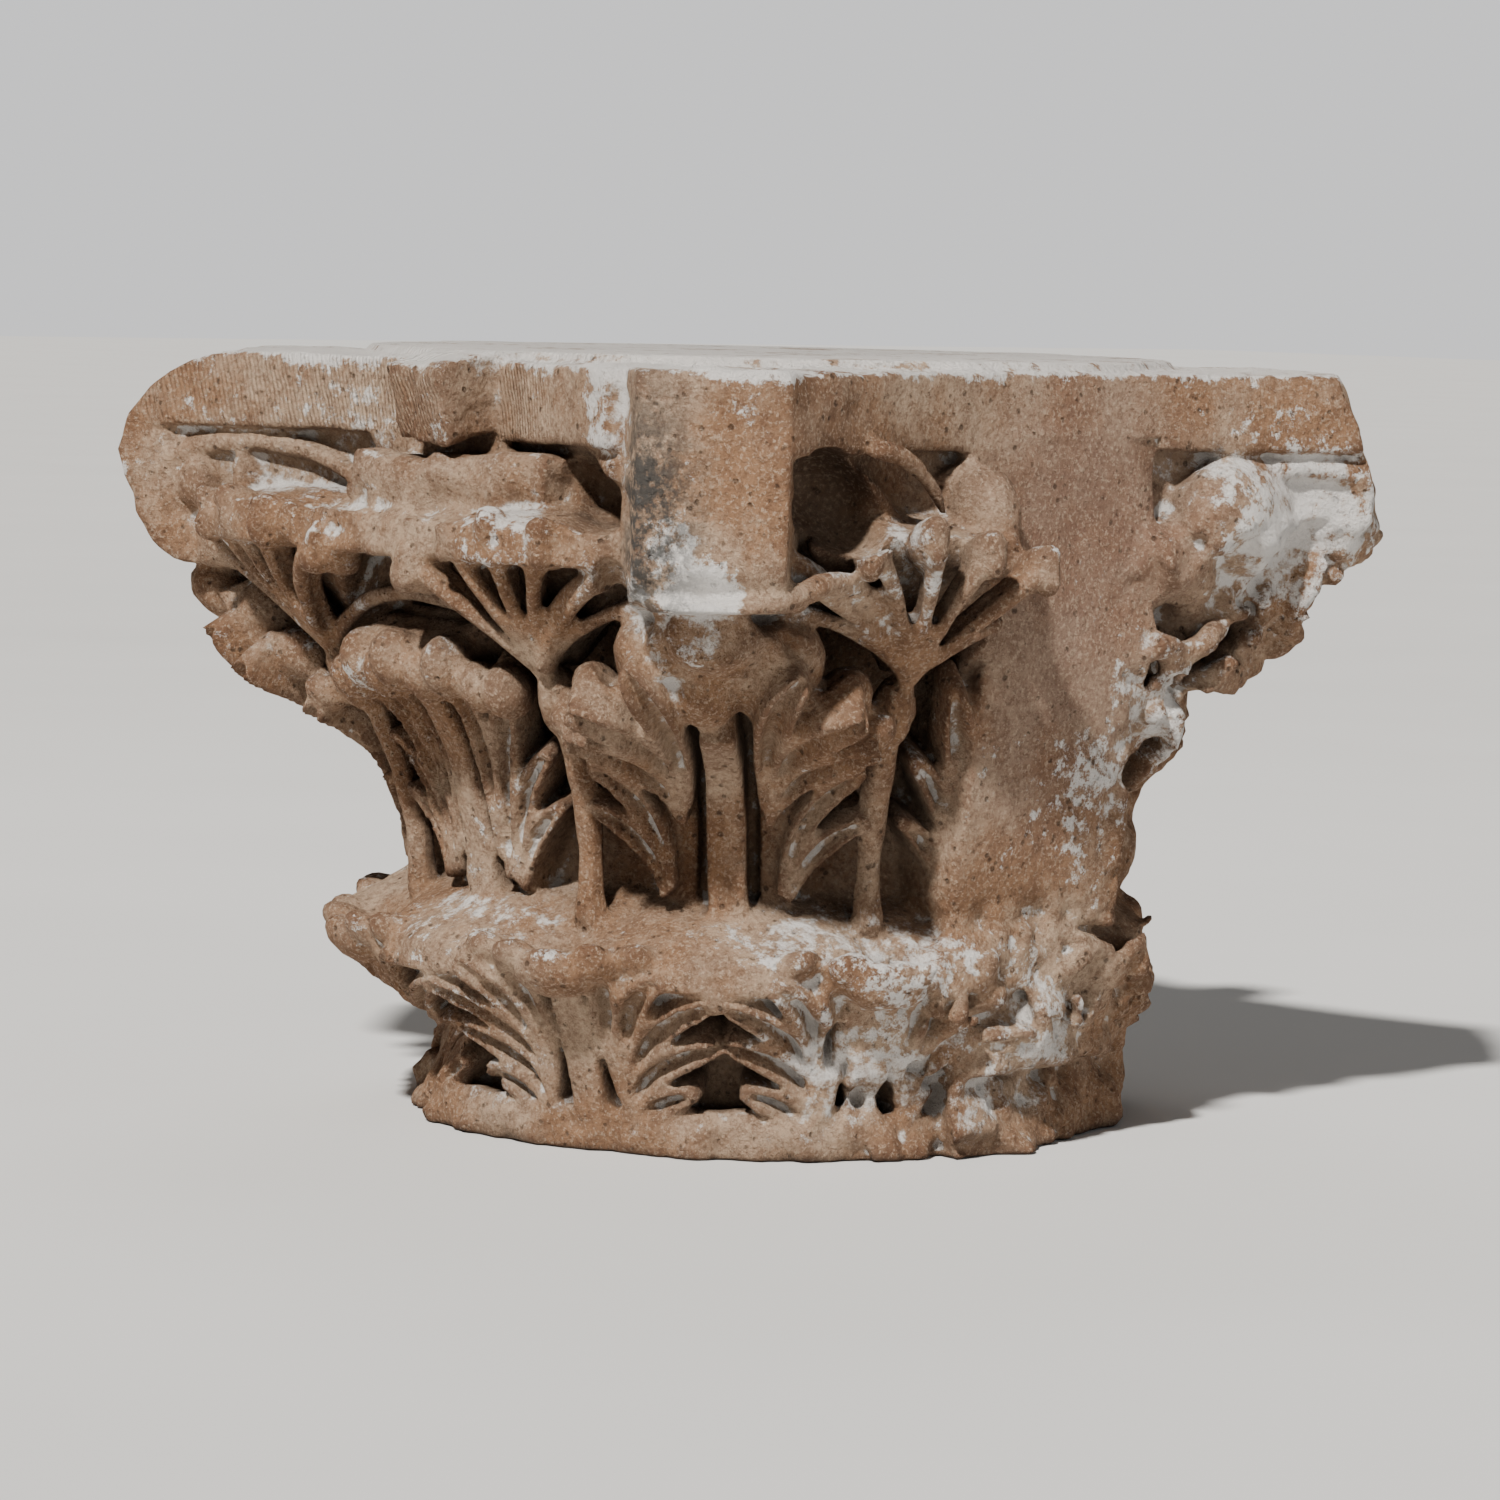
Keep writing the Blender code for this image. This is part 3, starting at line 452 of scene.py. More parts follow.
@dataclass
class LowerRow:
    """The lower row: eight leaves whose lip turns out, and the slope behind it."""

    block: Block
    reach: float = 0.303
    gap_reach: float = 0.266
    lip_height: float = 0.134
    lip_thickness: float = 0.019
    leaflets: tuple = (
        Leaflet(0.024, 0.042, 0.036, 0.132, 0.014),
        Leaflet(0.025, 0.036, 0.072, 0.124, 0.014),
        Leaflet(0.027, 0.030, 0.106, 0.106, 0.011),
        Leaflet(0.029, 0.022, 0.100, 0.078, 0.013),
        Leaflet(0.031, 0.010, 0.082, 0.046, 0.011),
    )
    lobes: tuple = (
        Lobe(0.000, 0.124, 0.300, 0.030, 0.024, 0.014, -38.0),
        Lobe(0.030, 0.132, 0.296, 0.018, 0.022, 0.011, -30.0),
        Lobe(0.058, 0.134, 0.288, 0.017, 0.022, 0.011, -26.0),
        Lobe(0.084, 0.128, 0.280, 0.015, 0.020, 0.011, -22.0),
        Lobe(0.106, 0.112, 0.274, 0.012, 0.017, 0.010, -14.0),
    )

    def lean(self, azimuth, height) -> np.ndarray:
        """Returns how far the lip draws back between two leaves."""
        share = np.clip(np.asarray(height) / self.lip_height, 0, 1) ** 3
        gap = from_lower_leaf(azimuth) / (LEAF_STEP / 2)
        return -(self.reach - self.gap_reach) * share * gap**2

    def build(self, carving: Carving) -> None:
        """Adds the leaves and the slope to the carving."""
        base = self.block.base_radius
        rise = Rise(
            [
                (base, -0.02),
                (base + 0.002, 0.030),
                (base + 0.010, 0.055),
                (base + 0.024, 0.078),
                (base + 0.044, 0.100),
                (self.reach - 0.004, 0.120),
                (self.reach, self.lip_height + 0.006),
            ],
            self.lean,
        )
        for step in range(LEAVES):
            Leaf(
                azimuth=LEAF_STEP * (step + 0.5),
                rise=rise,
                heights=(-0.01, 0.05, 0.09, 0.098, self.lip_height),
                half_widths=(0.050, 0.072, 0.092, 0.096, 0.100),
                leaflets=self.leaflets,
                lobes=self.lobes,
                rib_top=0.110,
            ).build(carving)
        turn = np.linspace(0, 360, 193)[:, None]
        lip = rise.radius(turn, self.lip_height) - 0.006
        inner = self.block.neck_radius - 0.030
        share = np.linspace(0, 1, 8)[None, :]
        level = self.lip_height + (self.block.neck_height + 0.006 - self.lip_height) * share**0.75 + 0 * turn
        radius = lip + (inner - lip) * share
        under = level - self.lip_thickness * (1 + 3 * share)
        carving.between(polar(turn, radius, level), polar(turn, radius, under))
        carving.turned([(base - 0.004, 0.030), (base, 0.020), (base, -0.02)])


@dataclass
class UpperRow:
    """The upper row: four leaves under the corners and four shorter ones at the faces."""

    block: Block
    face_reach: float = 0.330
    face_height: float = 0.330
    corner_reach: float = 0.402
    corner_height: float = 0.350
    face_leaflets: tuple = (
        Leaflet(0.023, 0.190, 0.044, 0.330, 0.014),
        Leaflet(0.028, 0.176, 0.086, 0.312, 0.014),
        Leaflet(0.036, 0.174, 0.092, 0.268, 0.010),
        Leaflet(0.042, 0.170, 0.088, 0.230, 0.009),
    )
    corner_leaflets: tuple = (
        Leaflet(0.026, 0.235, 0.060, 0.328, 0.016),
        Leaflet(0.027, 0.232, 0.098, 0.302, 0.014),
        Leaflet(0.028, 0.222, 0.108, 0.278, 0.010),
        Leaflet(0.036, 0.176, 0.092, 0.262, 0.010),
        Leaflet(0.042, 0.170, 0.094, 0.231, 0.010),
    )
    face_lobes: tuple = (
        Lobe(0.000, 0.324, 0.325, 0.019, 0.026, 0.022, -34.0),
        Lobe(0.022, 0.316, 0.316, 0.014, 0.024, 0.020, -30.0),
        Lobe(0.045, 0.322, 0.320, 0.017, 0.026, 0.022, -34.0),
        Lobe(0.066, 0.310, 0.310, 0.013, 0.022, 0.018, -30.0),
        Lobe(0.086, 0.308, 0.308, 0.015, 0.022, 0.019, -26.0),
    )
    corner_lobes: tuple = (
        Lobe(0.000, 0.352, 0.388, 0.034, 0.036, 0.022),
        Lobe(0.052, 0.340, 0.352, 0.019, 0.032, 0.020, -30.0),
        Lobe(0.084, 0.316, 0.330, 0.018, 0.026, 0.018, -30.0),
        Lobe(0.104, 0.292, 0.314, 0.013, 0.020, 0.013, -20.0),
    )

    def build(self, carving: Carving) -> None:
        """Adds the eight leaves to the carving."""
        neck, foot = self.block.neck_radius, self.block.neck_height - 0.02
        face_rise = Rise(
            [
                (neck, foot - 0.01),
                (neck + 0.004, 0.190),
                (neck + 0.016, 0.235),
                (neck + 0.040, 0.285),
                (self.face_reach, self.face_height),
            ]
        )
        corner_rise = Rise(
            [
                (neck, foot - 0.01),
                (neck + 0.008, 0.190),
                (neck + 0.020, 0.225),
                (neck + 0.042, 0.256),
                (neck + 0.092, 0.283),
                (neck + 0.128, 0.305),
                (self.corner_reach, self.corner_height),
            ]
        )
        for corner in Corner:
            Leaf(
                azimuth=corner.value,
                rise=corner_rise,
                heights=(foot, 0.210, 0.270, 0.278, 0.310, self.corner_height),
                half_widths=(0.056, 0.064, 0.088, 0.092, 0.104, 0.062),
                leaflets=self.corner_leaflets,
                lobes=self.corner_lobes,
                rib_top=0.284,
            ).build(carving)
        for face in Face:
            Leaf(
                azimuth=face.value,
                rise=face_rise,
                heights=(foot, 0.210, 0.250, 0.290, 0.305, self.face_height),
                half_widths=(0.056, 0.062, 0.072, 0.088, 0.094, 0.084),
                leaflets=self.face_leaflets,
                lobes=() if face is Face.SHEARED else self.face_lobes,
                rib_top=0.300,
            ).build(carving)


@dataclass
class Stems:
    """The fluted stems between the upper leaves.

    Attributes:
        block: The block's sizes.
        radius: Radius of a stem.
        flutes: Flutes of a stem.
        sections: Height, girth as a share of the radius, and distance from the axis.
        side_step: How far a stem beside the near corner stands aside, for each degree from the corner.
        sway: Degrees that a stem leans aside at its foot and at its top.
    """

    block: Block
    radius: float = 0.0092
    flutes: int = 6
    sections: tuple = (
        (0.153, 1.15, 0.242),
        (0.200, 0.95, 0.245),
        (0.240, 1.00, 0.257),
        (0.272, 1.15, 0.270),
        (0.286, 1.25, 0.276),
        (0.296, 1.85, 0.286),
        (0.308, 1.75, 0.296),
        (0.322, 1.15, 0.306),
    )
    side_step: float = 0.03
    sway: tuple = (-0.4, 0.4)

    def build(self, carving: Carving) -> None:
        """Adds the eight stems to the carving."""
        marks, girths, distances = np.array(self.sections).T
        heights = np.linspace(self.block.neck_height - 0.015, marks[-1], 30)
        girth = np.interp(heights, marks, girths) * self.radius
        out = np.interp(heights, marks, distances)
        for step in range(LEAVES):
            middle = LEAF_STEP * (step + 0.5)
            off = (middle + 180) % 360 - 180
            nearer = -self.side_step * off if abs(off) < 30 else 0.0
            turn = middle + nearer + np.interp(heights, (0.15, 0.32), self.sway) * np.sign(nearer or 1)
            carving.rod(polar(turn, out, heights), girth, flutes=self.flutes)


@dataclass
class Fans:
    """The fans of leaves that spring from the stems and carry the scrolls.

    Attributes:
        foot_height: Height of a fan's foot.
        tip_height: Height of its tips.
        reach: Radius of its tips at the middle of a face.
        corner_swell: How much further out it stands at a corner.
        rib_radius: Radius of a rib half way up.
        arch_radius: Radius of the thin rim of an arch.
        ground_levels: Heights of the sunk ground between its foot and its tips.
        ground_edges: Half widths of the ground, from its foot to its tips.
        ground_sunk: How deep the ground lies.
        ground_depth: Thickness of the ground.
        ribs: Where a rib ends across the fan, its height there and the half width of its head.
        whole: Azimuths of the fans that are left.
        shelf: Azimuths between which the shelf over the fans is left.
        shelf_height: Height of the shelf where it leaves the bell.
        shelf_thickness: Thickness of its lip.
    """

    foot_height: float = 0.316
    tip_height: float = 0.412
    reach: float = 0.345
    corner_swell: float = 0.066
    rib_radius: float = 0.0056
    arch_radius: float = 0.0060
    ground_levels: tuple = (0.335, 0.352, 0.370, 0.395)
    ground_edges: tuple = (0.012, 0.021, 0.038, 0.068, 0.088, 0.072)
    ground_sunk: float = 0.025
    ground_depth: float = 0.058
    ribs: tuple = (
        (-0.088, 0.396, 0.019),
        (-0.046, 0.417, 0.015),
        (-0.006, 0.424, 0.014),
        (0.034, 0.418, 0.014),
        (0.084, 0.404, 0.020),
    )
    whole: tuple = (-157.5, -112.5, -67.5, -22.5, 22.5, 112.5, 157.5)
    shelf: tuple = (-202.0, -7.0)
    shelf_height: float = 0.434
    shelf_thickness: float = 0.026

    def lean(self, azimuth, height) -> np.ndarray:
        """Returns how far the fans lean out towards the corners."""
        rise = np.clip((np.asarray(height) - self.foot_height) / (self.tip_height - self.foot_height), 0, 1)
        return self.corner_swell * rise * from_face_centre(azimuth) / 45

    def fan(self, carving: Carving, azimuth: float, rise: Rise) -> None:
        """Adds one fan: its sunk ground, its ribs and their rounded heads."""
        heights = (self.foot_height, *self.ground_levels, self.tip_height)
        edge = np.array(self.ground_edges)
        carving.strip(azimuth, rise, heights, -edge, edge, -self.ground_sunk, self.ground_depth)
        share = np.linspace(0, 1, 14)
        foot = self.foot_height + 0.003
        for end, top, width in self.ribs:
            turn = azimuth + np.degrees(end * share**1.1 / self.reach)
            height = foot + (top - foot) * share**0.9
            for sunk, girth, swell in ((0.3, 0.80, 0.50), (2.4, 0.70, 0.40)):
                line = rise.point(turn, height, -sunk * self.rib_radius)
                carving.rod(line, self.rib_radius * (girth + swell * share))
            reach = float(rise.radius(turn[-1], top)) + 0.006
            place = end * reach / self.reach
            aside, higher = carving.chance.uniform(-0.004, 0.004, 2)
            head = Lobe(place + aside, top - 0.006 + higher, reach - 0.008, width, 0.026, 0.0145, -32.0)
            carving.lobe(azimuth, head)
            carving.lobe(azimuth, Lobe(place, top - 0.012, reach - 0.004, 0.62 * width, 0.014, 0.014, -4.0))

    def arch(self, carving: Carving, azimuth: float, corner: bool) -> None:
        """Adds the thin rim between two fans, over an upper leaf, and the wall above it."""
        rise, out = (0.052, 0.052) if corner else (0.042, -0.004)
        share = np.linspace(-1, 1, 33)
        turn = azimuth + share * LEAF_STEP / 2
        height = self.foot_height + 0.010 + rise * (1 - np.abs(share) ** 2.2)
        radius = 0.308 + out * (1 - share**2)
        carving.rod(polar(turn, radius, height), self.arch_radius)
        wall = np.array([0.0, 0.030, 0.075, 0.115])[None, :]
        back = np.array([0.008, 0.014, 0.018, 0.008])[None, :]
        outer = polar(turn[:, None], radius[:, None] - back, height[:, None] + wall)
        inner = polar(turn[:, None], radius[:, None] - back - 0.040, height[:, None] + wall)
        carving.between(outer, inner)

    def build(self, carving: Carving) -> None:
        """Adds the fans and the arches to the carving."""
        rise = Rise(
            [
                (self.reach - 0.040, self.foot_height),
                (self.reach - 0.024, 0.345),
                (self.reach - 0.008, 0.380),
                (self.reach, self.tip_height),
            ],
            self.lean,
        )
        for azimuth in self.whole:
            self.fan(carving, azimuth, rise)
        turn = np.linspace(*self.shelf, 140)[:, None]
        share = np.linspace(0, 1, 6)[None, :]
        lip = rise.radius(turn, self.tip_height) + 0.010 * np.cos(np.radians(turn * 8)) ** 2 - 0.006
        radius = 0.240 + (lip - 0.240) * share
        level = self.shelf_height - 0.012 * share**2 + 0 * turn
        under = level - self.shelf_thickness - 0.02 * (1 - share)
        carving.between(polar(turn, radius, level), polar(turn, radius, under))
        for corner in Corner:
            self.arch(carving, corner.value, True)
        for face in Face:
            self.arch(carving, face.value, False)


@dataclass
class Abacus:
    """The abacus, its raised bed, the scrolls under it and the boss at each face.

    Attributes:
        block: The block's sizes.
        scroll_drop: How far a scroll hangs under the abacus.
        scroll_width: Its width under a corner.
        band_radius: Half the height of its raised band.
        band_line: The band's place along the side of the abacus and its height from the underside.
        band_depth: How deep the band is let in.
        boss_width: Width of a boss, and so on.
        recess: How far the side lies back behind the band.
        stump: Place across, reach and top of the stump under a boss.
        stump_foot: Height of its foot.
        stump_depth: How deep it is let in.
        shear_reach: Distance of the sheared face from the axis, and so on.
        near_lips: Azimuth, radius and height along the lips by the near corner and the band in the hollow.
        lip_girth: Azimuths and radii of the lips.
        eye_spots: Place along the side, height, radius and depth of the left scroll's eye and pin.
        lumps: Azimuth, radius, height and three half sizes of the lumps at the right corner.
    """

    block: Block
    scroll_drop: float = 0.100
    scroll_width: float = 0.100
    band_radius: float = 0.0065
    band_line: tuple = (
        (0.00, -0.046),
        (0.03, -0.026),
        (0.08, -0.014),
        (0.16, -0.010),
        (0.24, -0.014),
        (0.31, -0.028),
        (0.38, -0.052),
    )
    band_depth: float = 0.030
    boss_width: float = 0.056
    boss_height: float = 0.052
    boss_reach: float = 0.342
    boss_shift: float = 0.042
    boss_drop: float = 0.004
    boss_lean: float = 13
    recess: float = 0.020
    stump: tuple = (
        (-0.024, 0.350, 0.465),
        (0.006, 0.350, 0.461),
        (0.040, 0.342, 0.459),
        (0.075, 0.334, 0.461),
        (0.108, 0.324, 0.463),
        (0.140, 0.312, 0.464),
    )
    stump_foot: float = 0.412
    stump_depth: float = 0.060
    shear_reach: float = 0.288
    shear_knee: float = 0.330
    shear_lean: float = 9.0
    shear_width: float = 0.150
    shear_shift: float = 0.022
    near_lips: tuple = (
        (
            (-9.0, 0.392, 0.430),
            (-7.6, 0.404, 0.408),
            (-5.4, 0.414, 0.386),
            (-2.4, 0.421, 0.373),
            (1.0, 0.424, 0.371),
            (4.6, 0.423, 0.376),
            (8.0, 0.410, 0.385),
            (11.0, 0.390, 0.391),
            (14.2, 0.366, 0.387),
            (17.4, 0.346, 0.373),
            (19.8, 0.330, 0.351),
            (21.6, 0.318, 0.326),
        ),
        ((-10.5, 0.372, 0.388), (-14.0, 0.360, 0.384), (-17.6, 0.344, 0.366), (-21.6, 0.318, 0.326)),
        ((15.6, 0.362, 0.476), (19.0, 0.352, 0.470), (22.4, 0.340, 0.455), (25.4, 0.330, 0.434)),
    )
    lip_girth: tuple = ((-9, 1, 12, 22), (0.0075, 0.0100, 0.0080, 0.0056))
    eye_spots: tuple = (
        (0.050, 0.430, 0.019, 0.014),
        (0.122, 0.424, 0.007, 0.014),
        (0.125, 0.440, 0.007, 0.014),
    )
    lumps: tuple = (
        (32.5, 0.334, 0.428, 0.026, 0.034, 0.042),
        (80, 0.372, 0.430, 0.090, 0.044, 0.046),
        (72, 0.338, 0.396, 0.060, 0.036, 0.040),
        (84, 0.346, 0.376, 0.070, 0.036, 0.030),
        (64, 0.300, 0.400, 0.026, 0.024, 0.034),
        (78, 0.304, 0.338, 0.070, 0.034, 0.046),
        (70, 0.276, 0.300, 0.036, 0.022, 0.040),
        (88, 0.282, 0.284, 0.070, 0.030, 0.050),
        (80, 0.258, 0.230, 0.064, 0.026, 0.070),
    )

    @property
    def band_reach(self) -> float:
        """Corner reach of the side on which the bands lie."""
        return self.block.abacus_reach - 2 * self.block.scroll_inset

    @property
    def recess_reach(self) -> float:
        """Corner reach of the side behind the bands."""
        return self.band_reach - self.recess

    def outline(self, reach: float) -> list:
        """Returns the plan: four hollow sides between four cut corners."""
        half = self.block.corner_width / 2
        points = []
        for corner in (0, 90, 180, 270):
            start = polar(corner, reach, 0.0)[:2] + half * polar(corner + 90, 1.0, 0.0)[:2]
            end = polar(corner + 90, reach, 0.0)[:2] - half * polar(corner + 180, 1.0, 0.0)[:2]
            inward = -polar(corner + 45, 1.0, 0.0)[:2]
            for share in np.linspace(0, 1, 25):
                sag = self.block.abacus_hollow * 4 * share * (1 - share)
                points.append(start * (1 - share) + end * share + inward * sag)
        return points

    def scroll(self, carving: Carving, azimuth: float, whole: bool) -> None:
        """Adds the body of a pair of scrolls under a corner, from its side view."""
        inner, top, drop = self.block.bell_radius, self.block.abacus_under, self.scroll_drop
        reach = self.block.abacus_reach
        if whole:
            profile = [
                (inner, top + 0.010),
                (reach - 0.010, top + 0.010),
                (reach, top - 0.28 * drop),
                (reach - 0.010, top - 0.60 * drop),
                (reach - 0.030, top - 0.90 * drop),
                (reach - 0.070, top - drop),
                (inner, top - drop),
            ]
        else:
            profile = [
                (inner, top + 0.010),
                (reach - 0.032, top + 0.010),
                (reach - 0.020, top - 0.35 * drop),
                (reach - 0.028, top - 0.58 * drop),
                (reach - 0.075, top - 1.06 * drop),
                (reach - 0.135, top - 1.62 * drop),
                (inner, top - 1.62 * drop),
            ]
        line = smooth_line(profile, 6)
        width = self.scroll_width / 2
        frame_matrix = upright(azimuth)
        sides = []
        for across in (-width, width):
            sides.append([carving.shape.verts.new(frame_matrix @ Vector((across, -r, h))) for r, h in line])
        count = len(line)
        for step in range(count):
            after = (step + 1) % count
            carving.shape.faces.new((sides[0][step], sides[0][after], sides[1][after], sides[1][step]))
        carving.shape.faces.new(sides[0][::-1])
        carving.shape.faces.new(sides[1])

    def bands(self, carving: Carving) -> None:
        """Adds the raised band of each scroll along the side of the abacus."""
        outline = self.outline(self.band_reach)
        count = len(outline) // 4
        steps = np.linspace(0, 1, count)
        whole = np.linspace(0.0, 0.38, 26)
        levels = np.interp(whole, *np.array(self.band_line).T)
        up = self.band_radius * np.array((-1.0, -0.5, 0.5, 1.0))[None, :, None] * np.array((0.0, 0.0, 1.0))
        for face in range(4):
            side = np.array(outline[face * count : (face + 1) * count])
            inward = -polar(90 * face + 45, 1.0, 0.0)
            edge = self.band_radius * np.array((0.6, 0.0, 0.0, 0.6))[None, :, None] * inward
            shares = whole * (0.72 if face == 0 else 1.0)
            for along in (shares, 1 - shares):
                line = [np.interp(along, steps, side[:, axis]) for axis in (0, 1)]
                front = np.stack([*line, self.block.abacus_under + levels], 1)[:, None, :] + up + edge
                carving.between(front, front + self.band_depth * inward)

    def near_corner(self, carving: Carving) -> None:
        """Adds the lips by the near corner, the band in its right hollow and the block of the leaf's tip."""
        for points in self.near_lips:
            line = smooth_line(points, 5)
            girth = np.interp(line[:, 0], *self.lip_girth)
            carving.rod(polar(line[:, 0], line[:, 1], line[:, 2]), girth)
        carving.box(-1.2, (0.250, 0.384), 0.058, (0.326, 0.371), lean=14)
        carving.lobe(-1.2, Lobe(0.0, 0.328, 0.350, 0.028, 0.034, 0.036, 10.0))

    def broken_boss(self, carving: Carving, azimuth: float) -> None:
        """Adds the stump of what has broken off under a boss."""
        shape = upright(azimuth)
        share = np.linspace(0, 1, 7)
        rows = []
        for across, reach, top in self.stump:
            height = self.stump_foot + (top - self.stump_foot) * share
            out = reach - 0.016 * (1 - share) ** 1.5 - 0.012 * share**4
            rows.append([[*(shape @ Vector((across, -r, h)))] for r, h in zip(out, height)])
        front = np.array(rows)
        outwards = np.array([*(shape @ Vector((0, -1, 0)))])
        carving.between(front, front - self.stump_depth * outwards)

    def left_eye(self, carving: Carving) -> None:
        """Adds the worn eye and pin of the left scroll."""
        outline = np.array(self.outline(self.recess_reach))
        side = outline[-len(outline) // 4 :]
        steps = np.linspace(0, 1, len(side))
        for share, height, girth, depth in self.eye_spots:
            x, y = (float(np.interp(share, steps, side[:, axis])) for axis in (0, 1))
            place = Matrix.Translation((x, y, height)) @ upright(Face.BOSS.value - 16)
            size = Matrix.Diagonal((girth, depth, girth * (1.0 if girth > 0.01 else 2.4), 1))
            bmesh.ops.create_icosphere(carving.shape, subdivisions=3, radius=1, matrix=place @ size)

    def broken_scroll(self, carving: Carving) -> None:
        """Adds the rough lumps left of the scrolls and the fan at the right corner."""
        for azimuth, radius, height, *half_sizes in self.lumps:
            carving.lobe(azimuth, Lobe(0.0, height, radius - 0.6 * half_sizes[1], *half_sizes))

    def build(self, carving: Carving) -> None:
        """Adds the abacus, the bell, the scrolls, the bosses and the sheared mass."""
        block = self.block
        carving.plate(self.outline(block.abacus_reach), block.abacus_under, block.abacus_top)
        under = block.abacus_under
        carving.plate(self.outline(self.recess_reach), under - block.scroll_height, under + 0.010)
        ring = [(block.bed_radius, block.height + 0.006), (block.bed_radius, block.height - 0.03)]
        carving.turned(ring)
        bell = [
            (block.bell_lip_radius, block.abacus_under + 0.010),
            (block.bell_lip_radius - 0.030, 0.400),
            (block.bell_radius + 0.024, 0.340),
            (block.bell_radius + 0.006, 0.280),
            (block.bell_radius, 0.200),
            (block.bell_radius, -0.012),
        ]
        carving.turned([tuple(point) for point in smooth_line(bell, 4)])
        for corner in Corner:
            self.scroll(carving, corner.value, corner is not Corner.RIGHT)
        self.bands(carving)
        self.near_corner(carving)
        self.left_eye(carving)
        self.broken_scroll(carving)
        low = block.abacus_top - self.boss_drop - self.boss_height
        for face in Face:
            if face is not Face.SHEARED:
                reach = (block.bell_radius, self.boss_reach)
                levels = (low, low + self.boss_height)
                carving.box(face.value, reach, self.boss_width, levels, self.boss_shift, self.boss_lean)
                self.broken_boss(carving, face.value)
        reach = (block.bell_radius, self.shear_reach)
        face = Face.SHEARED.value
        top = block.abacus_top - 0.01
        carving.box(face, reach, self.shear_width, (self.shear_knee - 0.015, top), self.shear_shift)
        low = (0.150, self.shear_knee)
        carving.box(face, reach, self.shear_width, low, self.shear_shift, self.shear_lean)


